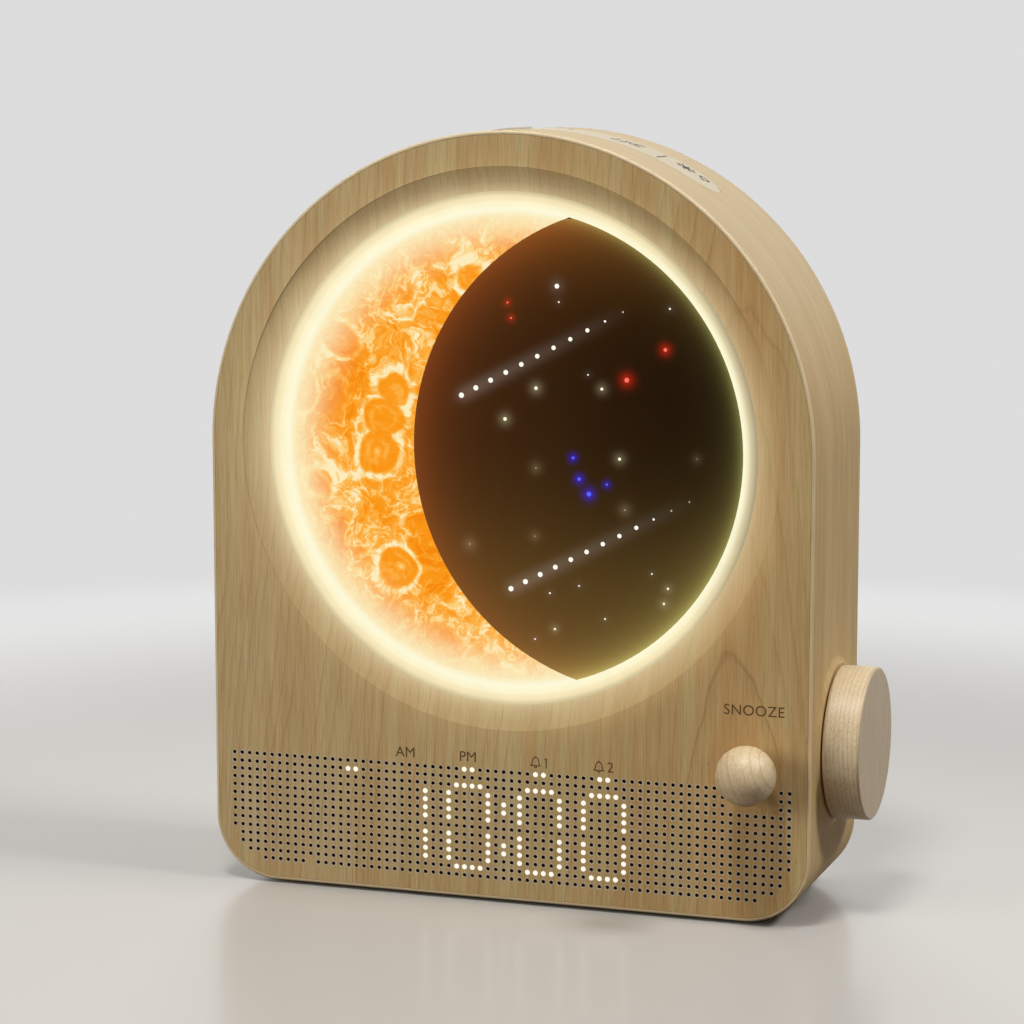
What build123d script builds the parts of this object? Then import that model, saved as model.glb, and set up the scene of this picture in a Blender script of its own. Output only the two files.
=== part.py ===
from build123d import *
import os
from math import cos, hypot, radians, sin, sqrt, tan

# Sunrise alarm clock: an arched wooden case with a glowing sun dial above a perforated clock display.
# Millimetres. X runs to the right, Y to the rear and Z up. The origin is the centre of the foot pad's
# underside, and the front face lies at Y = -body_depth / 2.

# ---------------------------------------------------------------- casing
body_depth = 59.4
face_border = 10.2           # wood between the dish's rim and the arch's outline
foot_height = 1.0            # gap between the casing and the table
corner_radius = 20.0
wall = 5.0
edge_round = 0.7
front_lip = 1.0              # thin border of the casing round the front panel
rear_lip = 1.6
panel_thickness = 2.4
cover_thickness = 2.5
seam = 0.1                   # gap between pieces that are let into each other
rest_gap = 0.3               # gap between pieces that lie close without touching

# ---------------------------------------------------------------- dial
disc_radius = 72.2
ring_width = 4.7             # glowing ring round the disc
dish_slope = 7.6             # from the ring to the dish's rim
dish_depth = 3.2
dish_sag = 0.55              # hollow of the dish's slope
bezel_back = 7.5
disc_depth = 6.0             # front of the sun disc behind the front face
disc_thickness = 2.0
night_bulge = 0.7            # the dark panel's left edge is an arc this much larger than the disc
night_x = 42.0
night_z = 0.8
glow_ring_back = 9.0
box_wall = 2.0
box_depth = 16.0             # inside depth of the reflector box
box_floor = 2.0
flange_depth = 13.6
flange_thickness = 2.0
flange_gap = 0.8             # from the bezel's and the box's flanges to the casing's wall
box_boss_radius = 3.0
box_screw_count = 6
board = 1.6                  # circuit board thickness
thin_board = 1.0
divider = 1.2                # wall between the sun's and the night's side
star_board_gap = 2.6         # from the disc's back to the star lights' board
star_posts = ((10, 35), (10, -35), (50, 25), (50, -25))
ring_led_count = 36
chip = 2.0                   # side of a light's package
chip_thickness = 0.9
sun_led_rings = 3
sun_led_edge = 6.2           # from the box's wall to the outermost ring of lights
sun_led_pitch = 9.0
star_radius = 0.8            # holes of the star mask
star_height = 0.8
mask_sheet = 1.2             # the night panel's perforated mask

# ---------------------------------------------------------------- hole grid and display
hole_pitch = 2.54
hole_radius = 0.6
hole_columns = 71
hole_rows = 14
hole_margin = 5.8            # least distance from a hole's centre to the casing's outline
last_row_rise = 6.74         # from the casing's underside to the lowest row
dial_gap = 6.97              # from the display to the bezel's flange
plain_spot = (10, 13)        # one column and row without a hole
display_left = 14.5          # the display's edges, in columns
display_right = 51.5
digit_columns = (20, 28, 37, 45)
digit_span = 5               # columns from a digit's left bar to its right bar
digit_rows = (2, 7, 12)      # rows of a digit's three bars
colon_column = 35
indicator_columns = (22, 30, 39, 47)
mode_column = 15
mask_thickness = 2.8
mask_hole_radius = 0.8
led_width = 1.0
led_height = 0.6
led_thickness = 0.8

# ---------------------------------------------------------------- snooze ball
ball_radius = 8.9
ball_inset = 17.0            # from the casing's side to the ball's centre
ball_height = 47.6
ball_gap = 1.6               # from the ball to the front face
snooze_travel = 1.0
stem_radius = 2.5
stem_grip = 6.0              # length of the stem inside the ball
running_fit = 0.05           # radial clearance of what turns or slides
bush_radius = 3.8
bush_flange_radius = 6.0
bush_flange = 1.5
bush_length = 5.6            # from the panel's back
clear_zone_width = 15.6      # hole grid left out round the ball
clear_zone_drop = 13.0
spring_wire = 0.6
spring_radius = 5.2
spring_turns = 4
switch_size = 6.0
switch_height = 3.5
button_radius = 1.7
button_height = 0.3
bracket_width = 13.0
bracket_tall = 26.0
bracket_thickness = 1.5
stem_collar_radius = 4.2
bush_front = 0.3
bracket_post_drop = 10.0
bracket_post_radius = 2.0

# ---------------------------------------------------------------- side knob
knob_radius = 23.05
knob_height = 51.2
knob_y = 0.0
knob_thickness = 11.2
knob_gap = 0.4               # from the collar to the knob
knob_round = 0.9
push_travel = 0.3
collar_rise = 1.0
collar_hollow = 0.2          # hollow of the collar's slope
collar_foot_margin = 2.75    # the collar's foot and top edge outside the knob's radius
collar_top_margin = 0.45
shaft_radius = 3.0
thread_radius = 3.5
thread_length = 7.0
nut_radius = 5.6
nut_thickness = 2.0
nut_recess_radius = 7.5
nut_recess_depth = 3.0
encoder_depth = 6.5
encoder_width = 13.4
encoder_tall = 12.0
plunger_radius = 1.5
encoder_front = 0.8          # walls of the encoder's housing before and behind its rotor
encoder_rear = 1.0
rotor_room = 4.6
rotor_radius = 4.2
rotor_thickness = 1.5
plunger_disc = 1.0
insert_radius = 5.5
insert_length = 7.0

# ---------------------------------------------------------------- top strip and key
strip_angle = 36.5           # half the strip's arc
strip_width = 17.5
strip_y = 3.8
strip_thickness = 1.0
key_angle = -5.5
key_length = 13.0
key_width = 9.0
key_proud = 0.6
key_travel = 0.5
key_flange = 1.0
key_flange_thickness = 1.1
touch_from = 3.0             # arc of the touch board under the strip, in degrees
touch_to = 35.0
touch_width = 15.0
touch_thickness = 0.7
key_stem_radius = 2.0
key_stem = 2.2               # length of the key's stem
key_post_reach = 11.0
key_plate_length = 26.0
key_plate_width = 10.0
key_plate_thickness = 1.5
key_board_length = 16.0

# ---------------------------------------------------------------- rear cover, foot, boards, speaker
cover_screw_inset = 9.5
side_block_height = 80.0
bottom_block_x = 60.0
screw_radius = 1.5
screw_head_radius = 3.0
screw_head = 1.8
screw_play = 0.2
screw_sink = 1.5             # depth of the cover's counterbores
cover_screw_length = 9.0
block_radius = 7.0
block_length = 10.0
main_width = 90.0
main_tall = 60.0
main_low = 12.0              # height of the main board's lower edge
board_post_inset = 5.0
standoff = 5.3
standoff_radius = 3.2
pin_radius = 1.3
pin_end = 0.6
cell_x = -28.0               # coin cell that keeps the time
cell_height = 52.0
cell_radius = 10.0
cell_thickness = 3.2
cell_play = 0.3
cell_wall = 1.5
cell_floor = 1.0
cell_rim = 0.4
usb_x = 0.0
usb_height = 18.0
usb_width = 8.94
usb_tall = 3.26
usb_mouth_width = 8.34
usb_mouth_tall = 2.56
usb_opening_gap = 0.4
socket_length = 7.5
socket_mouth = 6.3
tongue_width = 6.69
tongue_thickness = 0.7
tongue_length = 4.6
vent_count = 9
vent_length = 34.0
vent_width = 1.8
vent_pitch = 5.0
vent_height = 150.0
capacitors = ((37, 46), (37, 38))
capacitor_radius = 3.2
capacitor_height = 8.0
foot_inset = 5.3             # from the end of the casing's flat underside to the foot pad
foot_width = 46.0
foot_corner = 6.0
foot_recess = 0.6
speaker_gap = 1.43           # from the display to the speaker's box
speaker_wall_gap = 1.8
speaker_floor_gap = 0.8
speaker_box_wall = 1.7
speaker_box_depth = 20.0
magnet_radius = 8.0
magnet_thickness = 5.0
gasket_thickness = 1.5
frame_thickness = 2.0
cone_depth = 5.0
cone_sheet = 0.5             # paper thickness of the speaker's cone

# ---------------------------------------------------------------- cable
cable_diameter = 3.5
plug_c_gap = 0.4
plug_c_length = 19.0
plug_c_width = 11.4
plug_c_tall = 6.2
plug_c_corner = 2.6
shell_c_width = 8.25
shell_c_tall = 2.4
shell_c_wall = 0.55
shell_c_length = 6.5
relief_length = 10.0
relief_radius = 3.0
relief_tip = 2.1
coil_x = -74.0
coil_y = 66.0
coil_inner_radius = 10.2
coil_outer_radius = 27.0
coil_low = 0.55
coil_high = 7.55
tie_thickness = 0.5
tie_width = 5.0
tie_corner = 1.4
tie_angle = 20.0
plug_a_body = 20.0
plug_a_width = 15.4
plug_a_tall = 7.8
plug_a_shell = 12.0
plug_a_shell_width = 12.0
plug_a_shell_tall = 4.5
plug_a_corner = 2.0
shell_a_wall = 0.4
tongue_a_thickness = 1.9
plug_a_end = -49.5           # X where the tail meets the plug's strain relief
plug_a_y = 41.8
plug_a_height = 4.1

# ---------------------------------------------------------------- worked out
bezel_inner_radius = disc_radius + ring_width + 2 * rest_gap
night_radius = disc_radius + night_bulge
dish_radius = bezel_inner_radius + dish_slope
arch_radius = dish_radius + face_border
body_width = 2 * arch_radius
side_x = arch_radius
inner_x = arch_radius - wall
flange_radius = inner_x - flange_gap
first_row_height = foot_height + last_row_rise + (hole_rows - 1) * hole_pitch
display_high = first_row_height + hole_pitch / 2
arch_height = display_high + dial_gap + flange_radius  # centre of the arch above the table
front_y = -body_depth / 2
rear_y = body_depth / 2
cover_depth = body_depth - cover_thickness
box_screw_circle = flange_radius - box_boss_radius - 0.2
box_back = disc_depth + disc_thickness + box_depth
box_inner_radius = disc_radius - box_wall
mask_depth = panel_thickness + rest_gap
display_board_depth = mask_depth + mask_thickness
collar_x = side_x + collar_rise
collar_foot_radius = knob_radius + collar_foot_margin
collar_top_radius = knob_radius + collar_top_margin
knob_back = collar_x + knob_gap
ball_x = side_x - ball_inset
ball_depth = -(ball_gap + ball_radius)
stem_start = ball_depth + ball_radius - stem_grip
bush_end = panel_thickness + bush_length
collar_start = bush_end + 0.1
collar_end = collar_start + 1.2
stem_end = collar_end + 1.8
snooze_board_depth = stem_end + snooze_travel + 0.1 + button_height + switch_height
main_depth = cover_depth - standoff - board
foot_length = body_width - 2 * corner_radius - 2 * foot_inset
cable_radius = cable_diameter / 2
os.makedirs("parts", exist_ok=True)


def front_plane(depth, x=0.0, z=arch_height):
    """A sketch plane seen from the front, that far behind the front face, with its origin at (x, z)."""
    return Plane(origin=(x, front_y + depth, z), x_dir=(1, 0, 0), z_dir=(0, -1, 0))


def rear_plane(depth, x=0.0, z=arch_height):
    """As front_plane, but an extrusion of a positive amount goes to the rear. Its x runs to the left."""
    return Plane(origin=(x, front_y + depth, z), x_dir=(-1, 0, 0), z_dir=(0, 1, 0))


def side_plane(x, y=knob_y, z=knob_height):
    """A sketch plane seen from the right, with its x along Y."""
    return Plane(origin=(x, y, z), x_dir=(0, 1, 0), z_dir=(1, 0, 0))


def arch_face(inset=0.0, mode=Mode.ADD):
    """The casing's arched outline, drawn in a sketch whose origin is the arch's centre."""
    half = arch_radius - inset
    low = arch_height - foot_height - inset
    corner = corner_radius - inset
    with BuildLine() as outline:
        ThreePointArc((-half, 0), (0, half), (half, 0))
        Line((half, 0), (half, corner - low))
        RadiusArc((half, corner - low), (half - corner, -low), corner)
        Line((half - corner, -low), (corner - half, -low))
        RadiusArc((corner - half, -low), (-half, corner - low), corner)
        Line((-half, corner - low), (-half, 0))
    make_face(outline.edges(), mode=mode)


def write(builder, node):
    """Labels a finished piece and writes it under its node's name."""
    builder.part.label = node
    export_step(builder.part, f"parts/{node}.step")


# ================================================================ casing
def hole_place(column, row):
    """X and height of a hole of the grid."""
    x = (column - (hole_columns - 1) / 2) * hole_pitch
    return x, first_row_height - row * hole_pitch


def hole_fits(x, z):
    """Whether a hole lies far enough inside the casing's outline and outside the ball's clear zone."""
    reach = arch_radius - hole_margin
    low = foot_height + hole_margin
    corner_x = arch_radius - corner_radius
    corner_z = foot_height + corner_radius
    if abs(x) > reach or z < low:
        return False
    if abs(x) > corner_x and z < corner_z:
        if hypot(abs(x) - corner_x, z - corner_z) > corner_radius - hole_margin:
            return False
    near_ball = abs(x - ball_x) < clear_zone_width / 2 and z > ball_height - clear_zone_drop
    return not near_ball


hole_places = []
for column in range(hole_columns):
    for row in range(hole_rows):
        place = hole_place(column, row)
        if hole_fits(*place) and (column, row) != plain_spot:
            hole_places.append((place[0], place[1] - arch_height))

# The recess for the top strip: a slot seen from above, cut from a thin shell of the arch.
strip_length = 2 * arch_radius * sin(radians(strip_angle))
above_arch = arch_height + arch_radius + wall
with BuildPart() as strip_recess:
    with BuildSketch(Plane.XY.offset(above_arch)):
        with Locations((0, strip_y)):
            SlotOverall(strip_length + 2 * seam, strip_width + 2 * seam)
    extrude(amount=-arch_radius)
    with BuildSketch(front_plane(0)):
        Circle(arch_radius + wall)
        Circle(arch_radius - strip_thickness - seam, mode=Mode.SUBTRACT)
    extrude(amount=-body_depth, mode=Mode.INTERSECT)

key_plane = Plane(
    origin=(0, strip_y, arch_height),
    x_dir=(cos(radians(key_angle)), 0, -sin(radians(key_angle))),
    z_dir=(sin(radians(key_angle)), 0, cos(radians(key_angle))),
)

with BuildPart() as body_casing:
    with BuildSketch(front_plane(0)):
        arch_face()
        arch_face(wall, mode=Mode.SUBTRACT)
    extrude(amount=-body_depth)
    for face in (body_casing.faces().sort_by(Axis.Y)[0], body_casing.faces().sort_by(Axis.Y)[-1]):
        fillet(face.outer_wire().edges(), edge_round)
    with BuildSketch(front_plane(0)):
        arch_face(front_lip)
    extrude(amount=-panel_thickness, mode=Mode.SUBTRACT)
    with BuildSketch(front_plane(cover_depth)):
        arch_face(rear_lip)
    extrude(amount=-cover_thickness, mode=Mode.SUBTRACT)
    # A low collar swells out of the side round the knob.
    with BuildSketch(Plane(origin=(side_x, knob_y, knob_height), x_dir=(1, 0, 0), z_dir=(0, -1, 0))):
        with BuildLine():
            Polyline((0, collar_foot_radius), (-wall / 2, collar_foot_radius), (-wall / 2, 0), (collar_rise, 0))
            Line((collar_rise, 0), (collar_rise, collar_top_radius))
            ThreePointArc(
                (collar_rise, collar_top_radius),
                (collar_rise / 2 - collar_hollow, (collar_top_radius + collar_foot_radius) / 2),
                (0, collar_foot_radius),
            )
        make_face()
    revolve(axis=Axis((side_x, knob_y, knob_height), (1, 0, 0)))
    with BuildSketch(side_plane(collar_x)):
        Circle(nut_recess_radius)
    extrude(amount=-nut_recess_depth, mode=Mode.SUBTRACT)
    with BuildSketch(side_plane(collar_x)):
        Circle(thread_radius + running_fit)
    extrude(amount=-(wall + collar_rise), mode=Mode.SUBTRACT)
    # The top strip's recess, and the key's way through the wall.
    add(strip_recess.part, mode=Mode.SUBTRACT)
    with BuildSketch(key_plane.offset(arch_radius + wall)):
        SlotOverall(key_length + 2 * rest_gap, key_width + 2 * rest_gap)
    extrude(amount=-3 * wall, mode=Mode.SUBTRACT)
    # The foot pad's recess.
    with BuildSketch(Plane.XY.offset(foot_height)):
        RectangleRounded(foot_length + 2 * seam, foot_width + 2 * seam, foot_corner + seam)
    extrude(amount=foot_recess, mode=Mode.SUBTRACT)
write(body_casing, "body_casing")

# The face board is let into the casing's front. Its holes are part of the sketch, so it needs no cuts.
with BuildPart() as front_panel:
    with BuildSketch(front_plane(0)):
        arch_face(front_lip + seam)
        Circle(dish_radius, mode=Mode.SUBTRACT)
        with Locations(*hole_places):
            Circle(hole_radius, mode=Mode.SUBTRACT)
        with Locations((ball_x, ball_height - arch_height)):
            Circle(bush_radius + seam, mode=Mode.SUBTRACT)
    extrude(amount=-panel_thickness, clean=False)
write(front_panel, "front_panel")

# Black acoustic cloth covers the holes beside the display.
cloth_low = foot_height + wall + rest_gap
cloth_high = first_row_height + hole_pitch
display_left_x = (display_left - (hole_columns - 1) / 2) * hole_pitch
display_right_x = (display_right - (hole_columns - 1) / 2) * hole_pitch
display_centre_x = (display_left_x + display_right_x) / 2
display_width = display_right_x - display_left_x
display_low = foot_height + wall + 2 * rest_gap
speaker_box_radius = (inner_x + display_left_x - speaker_gap - speaker_wall_gap) / 2
speaker_x = display_left_x - speaker_gap - speaker_box_radius
speaker_height = foot_height + wall + speaker_floor_gap + speaker_box_radius
speaker_radius = speaker_box_radius - speaker_box_wall - rest_gap
with BuildPart() as grille_cloth:
    with BuildSketch(front_plane(mask_depth)):
        arch_face(wall + rest_gap)
        with Locations((0, cloth_low - arch_height)):
            Rectangle(
                body_width, cloth_high - cloth_low, align=(Align.CENTER, Align.MIN), mode=Mode.INTERSECT
            )
        with Locations((display_centre_x, cloth_low - arch_height)):
            Rectangle(display_width + 2 * rest_gap, 2 * cloth_high, mode=Mode.SUBTRACT)
        with Locations((speaker_x, speaker_height - arch_height)):
            Circle(speaker_box_radius + rest_gap, mode=Mode.SUBTRACT)
            Circle(speaker_radius - 4)
        with Locations((ball_x, ball_height - arch_height)):
            Rectangle(bracket_width + 2 * rest_gap, bracket_tall + 2 * rest_gap, mode=Mode.SUBTRACT)
    extrude(amount=-rest_gap)
write(grille_cloth, "grille_cloth")

with BuildPart() as foot_pad:
    with BuildSketch(Plane.XY):
        RectangleRounded(foot_length, foot_width, foot_corner)
    extrude(amount=foot_height + foot_recess)
write(foot_pad, "foot_pad")


# ================================================================ dial
def in_section(radius, depth):
    """A point of a ring's section: its distance from the dial's axis, and its depth behind the face."""
    return radius, -depth


# Sections of turned rings are drawn looking down on the arch's centre, with depth running down.
section_plane = Plane(origin=(0, front_y, arch_height), x_dir=(1, 0, 0), z_dir=(0, 0, -1))
dial_axis = Axis((0, front_y, arch_height), (0, 1, 0))

with BuildPart() as dish_bezel:
    with BuildSketch(section_plane):
        with BuildLine():
            rim = dish_radius - seam
            middle = ((rim + bezel_inner_radius) / 2, -dish_depth / 2 - dish_sag)
            ThreePointArc(in_section(rim, 0), middle, in_section(bezel_inner_radius, dish_depth))
            Polyline(
                in_section(bezel_inner_radius, dish_depth),
                in_section(bezel_inner_radius, bezel_back),
                in_section(flange_radius, bezel_back),
                in_section(flange_radius, panel_thickness),
                in_section(rim, panel_thickness),
                in_section(rim, 0),
            )
        make_face()
    revolve(axis=dial_axis)
    with BuildSketch(rear_plane(bezel_back)):
        with PolarLocations(box_screw_circle, box_screw_count, start_angle=90):
            Circle(screw_radius)
    extrude(amount=-(bezel_back - panel_thickness - 1), mode=Mode.SUBTRACT)
write(dish_bezel, "dish_bezel")

glow_inner = disc_radius + rest_gap
glow_outer = bezel_inner_radius - rest_gap
with BuildPart() as glow_ring:
    with BuildSketch(section_plane):
        with BuildLine():
            Polyline(
                in_section(glow_inner, disc_depth - rest_gap),
                in_section(glow_outer, dish_depth),
                in_section(glow_outer, glow_ring_back),
                in_section(glow_inner, glow_ring_back),
                close=True,
            )
        make_face()
    revolve(axis=dial_axis)
write(glow_ring, "glow_ring")

with BuildPart() as sun_disc:
    with BuildSketch(front_plane(disc_depth)):
        Circle(disc_radius)
        with Locations((night_x, night_z)):
            Circle(night_radius + seam, mode=Mode.SUBTRACT)
    extrude(amount=-disc_thickness)
write(sun_disc, "sun_disc")

with BuildPart() as night_panel:
    with BuildSketch(front_plane(disc_depth)):
        Circle(disc_radius)
        with Locations((night_x, night_z)):
            Circle(night_radius, mode=Mode.INTERSECT)
    extrude(amount=-disc_thickness)
write(night_panel, "night_panel")

star_board_depth = disc_depth + disc_thickness + star_board_gap
with BuildPart() as light_box:
    with BuildSketch(front_plane(disc_depth + disc_thickness)):
        Circle(disc_radius)
        Circle(box_inner_radius, mode=Mode.SUBTRACT)
    extrude(amount=-box_depth)
    with BuildSketch(front_plane(disc_depth + disc_thickness)):
        with Locations((night_x, night_z)):
            Circle(night_radius + divider / 2)
            Circle(night_radius - divider / 2, mode=Mode.SUBTRACT)
        Circle(box_inner_radius, mode=Mode.INTERSECT)
    extrude(amount=-box_depth)
    with BuildSketch(front_plane(box_back)):
        Circle(disc_radius)
    extrude(amount=-box_floor)
    with BuildSketch(front_plane(flange_depth)):
        Circle(flange_radius)
        Circle(disc_radius, mode=Mode.SUBTRACT)
    extrude(amount=-flange_thickness)
    with BuildSketch(front_plane(bezel_back)):
        with PolarLocations(box_screw_circle, box_screw_count, start_angle=90):
            Circle(box_boss_radius)
    extrude(amount=-(flange_depth - bezel_back))
    with BuildSketch(front_plane(star_board_depth + board)):
        with Locations(*star_posts):
            Circle(box_boss_radius)
    extrude(amount=-(box_back - star_board_depth - board))
    with BuildSketch(front_plane(bezel_back)):
        with PolarLocations(box_screw_circle, box_screw_count, start_angle=90):
            Circle(screw_radius)
    extrude(amount=-(flange_depth + flange_thickness - bezel_back), mode=Mode.SUBTRACT)
write(light_box, "light_box")

box_screw_length = flange_depth + flange_thickness - bezel_back + 3.5
with BuildPart() as light_box_screws:
    with BuildSketch(rear_plane(flange_depth + flange_thickness)):
        with PolarLocations(box_screw_circle, box_screw_count, start_angle=90):
            Circle(screw_head_radius - 0.4)
    extrude(amount=screw_head)
    with BuildSketch(rear_plane(flange_depth + flange_thickness)):
        with PolarLocations(box_screw_circle, box_screw_count, start_angle=90):
            Circle(screw_radius - running_fit)
    extrude(amount=-box_screw_length)
write(light_box_screws, "light_box_screws")

# The ring's board lies on the light box's flange, inside its bosses.
ring_board_depth = flange_depth - board
ring_board_outer = box_screw_circle - box_boss_radius - rest_gap
with BuildPart() as ring_led_board:
    with BuildSketch(front_plane(ring_board_depth)):
        Circle(ring_board_outer)
        Circle(disc_radius + rest_gap, mode=Mode.SUBTRACT)
    extrude(amount=-board)
write(ring_led_board, "ring_led_board")

with BuildPart() as ring_leds:
    with BuildSketch(front_plane(ring_board_depth - chip_thickness)):
        with PolarLocations((glow_inner + glow_outer) / 2, ring_led_count):
            Rectangle(chip, chip)
    extrude(amount=-chip_thickness)
write(ring_leds, "ring_leds")

sun_board_depth = box_back - board
with BuildPart() as sun_led_board:
    with BuildSketch(front_plane(sun_board_depth)):
        Circle(box_inner_radius - rest_gap)
        with Locations((night_x, night_z)):
            Circle(night_radius + divider / 2 + rest_gap, mode=Mode.SUBTRACT)
    extrude(amount=-board)
write(sun_led_board, "sun_led_board")

sun_led_places = []
for ring in range(sun_led_rings):
    ring_radius = box_inner_radius - sun_led_edge - ring * sun_led_pitch
    for angle in range(100, 261, 12):
        x = ring_radius * cos(radians(angle))
        z = ring_radius * sin(radians(angle))
        if hypot(x - night_x, z - night_z) > night_radius + 2 * chip:
            sun_led_places.append((x, z))
with BuildPart() as sun_leds:
    with BuildSketch(front_plane(sun_board_depth - chip_thickness)):
        with Locations(*sun_led_places):
            Rectangle(chip, chip)
    extrude(amount=-chip_thickness)
write(sun_leds, "sun_leds")

# Star lights, from the dial's centre. Two rows of evenly spaced lights make the meteors.
meteor_step = (5.07, 2.66)
meteors = ((-15.5, 15.8, 11), (0.0, -42.3, 12))
stars = [
    (14.7, 49.4), (15.3, 44.7), (-0.8, 44.2), (0.3, 39.6), (48.3, 31.4), (36.5, 22.1),
    (49.6, 43.5), (24.5, 23.3), (28.8, 19.2), (8.2, 18.8), (-1.6, 9.2), (34.4, -1.5),
    (8.2, -5.2), (58.2, -0.5), (36.1, -16.7), (-12.9, -29.3), (7.9, -25.9), (19.9, -1.7),
    (21.8, -8.0), (24.9, -12.4), (30.5, -9.3), (44.6, -35.5), (49.6, -39.7), (48.4, -44.3),
    (21.9, -40.3), (12.7, -43.0), (30.1, -49.9), (14.3, -53.9), (8.0, -57.3),
]
for start_x, start_z, count in meteors:
    for number in range(count):
        stars.append((start_x + number * meteor_step[0], start_z + number * meteor_step[1]))


def night_face(inset):
    """The night panel's outline, drawn that far inside the reflector box's walls."""
    Circle(box_inner_radius - inset)
    with Locations((night_x, night_z)):
        Circle(night_radius - divider / 2 - inset, mode=Mode.INTERSECT)


with BuildPart() as star_led_board:
    with BuildSketch(front_plane(star_board_depth)):
        night_face(rest_gap)
    extrude(amount=-board)
write(star_led_board, "star_led_board")

with BuildPart() as star_leds:
    with BuildSketch(front_plane(star_board_depth - star_height)):
        with Locations(*stars):
            Circle(star_radius)
    extrude(amount=-star_height)
write(star_leds, "star_leds")

with BuildPart() as star_mask:
    with BuildSketch(front_plane(disc_depth + disc_thickness + rest_gap)):
        night_face(rest_gap)
        with Locations(*stars):
            Circle(star_radius, mode=Mode.SUBTRACT)
    extrude(amount=-mask_sheet)
write(star_mask, "star_mask")

# ================================================================ display
dots = []
for left in digit_columns:
    right = left + digit_span
    for row in digit_rows:
        for column in range(left + 1, right):
            dots.append((column, row))
    for row in range(digit_rows[0] + 1, digit_rows[2]):
        if row != digit_rows[1]:
            dots.append((left, row))
            dots.append((right, row))
for row in (4, 5, 9, 10):
    dots.append((colon_column, row))
for column in indicator_columns:
    dots.append((column, 0))
    dots.append((column + 1, 0))
for column in (mode_column, mode_column + 1):
    dots.append((column, 1))
dot_places = [(hole_place(*dot)[0], hole_place(*dot)[1] - arch_height) for dot in dots]
display_middle = (display_high + display_low) / 2 - arch_height

with BuildPart() as display_mask:
    with BuildSketch(front_plane(mask_depth)):
        with Locations((display_centre_x, display_middle)):
            Rectangle(display_width, display_high - display_low)
        with Locations(*dot_places):
            Circle(mask_hole_radius, mode=Mode.SUBTRACT)
    extrude(amount=-mask_thickness)
write(display_mask, "display_mask")

with BuildPart() as display_board:
    with BuildSketch(front_plane(display_board_depth)):
        with Locations((display_centre_x, display_middle)):
            Rectangle(display_width, display_high - display_low)
    extrude(amount=-board)
write(display_board, "display_board")

with BuildPart() as display_leds:
    with BuildSketch(front_plane(display_board_depth - led_thickness)):
        with Locations(*dot_places):
            Rectangle(led_width, led_height)
    extrude(amount=-led_thickness)
write(display_leds, "display_leds")

# ================================================================ speaker
with BuildPart() as speaker_gasket:
    with BuildSketch(front_plane(mask_depth, speaker_x, speaker_height)):
        Circle(speaker_radius)
        Circle(speaker_radius - 3, mode=Mode.SUBTRACT)
    extrude(amount=-gasket_thickness)
write(speaker_gasket, "speaker_gasket")

frame_depth = mask_depth + gasket_thickness
basket_depth = frame_depth + frame_thickness + cone_depth
with BuildPart() as speaker_frame:
    with BuildSketch(front_plane(frame_depth, speaker_x, speaker_height)):
        Circle(speaker_radius)
    with BuildSketch(front_plane(frame_depth + frame_thickness, speaker_x, speaker_height)):
        Circle(speaker_radius)
    loft()
    with BuildSketch(front_plane(frame_depth + frame_thickness, speaker_x, speaker_height)):
        Circle(speaker_radius - 1)
    with BuildSketch(front_plane(basket_depth, speaker_x, speaker_height)):
        Circle(magnet_radius + 1)
    loft()
    with BuildSketch(front_plane(frame_depth, speaker_x, speaker_height)):
        Circle(speaker_radius - 2)
    with BuildSketch(front_plane(basket_depth - 1, speaker_x, speaker_height)):
        Circle(magnet_radius - 1)
    loft(mode=Mode.SUBTRACT)
write(speaker_frame, "speaker_frame")

cone_start = frame_depth + rest_gap
with BuildPart() as speaker_cone:
    with BuildSketch(front_plane(cone_start, speaker_x, speaker_height)):
        Circle(speaker_radius - 2 - rest_gap - 0.4)
    with BuildSketch(front_plane(cone_start + 3.5, speaker_x, speaker_height)):
        Circle(4.5)
    loft()
    with BuildSketch(front_plane(cone_start, speaker_x, speaker_height)):
        Circle(speaker_radius - 2 - rest_gap - 0.4 - 2 * cone_sheet)
    with BuildSketch(front_plane(cone_start + 3.5 - cone_sheet, speaker_x, speaker_height)):
        Circle(4.5 - cone_sheet)
    loft(mode=Mode.SUBTRACT)
write(speaker_cone, "speaker_cone")

with BuildPart() as speaker_magnet:
    with BuildSketch(front_plane(basket_depth, speaker_x, speaker_height)):
        Circle(magnet_radius)
    extrude(amount=-magnet_thickness)
write(speaker_magnet, "speaker_magnet")

magnet_back = basket_depth + magnet_thickness
with BuildPart() as speaker_box:
    with BuildSketch(front_plane(mask_depth, speaker_x, speaker_height)):
        Circle(speaker_box_radius)
    extrude(amount=-speaker_box_depth)
    with BuildSketch(front_plane(mask_depth, speaker_x, speaker_height)):
        Circle(speaker_radius + rest_gap)
    extrude(amount=-(speaker_box_depth - speaker_box_wall), mode=Mode.SUBTRACT)
    # A neck inside the back carries the speaker by its magnet.
    with BuildSketch(front_plane(magnet_back, speaker_x, speaker_height)):
        Circle(magnet_radius)
    extrude(amount=-(mask_depth + speaker_box_depth - speaker_box_wall - magnet_back))
write(speaker_box, "speaker_box")

# ================================================================ side knob and its encoder
encoder_back = inner_x - encoder_depth
room_back = encoder_back + encoder_rear
plunger_front = room_back + push_travel + 0.2 + plunger_disc
shaft_start = plunger_front + running_fit
insert_end = knob_back + 1.3 + insert_length

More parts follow.
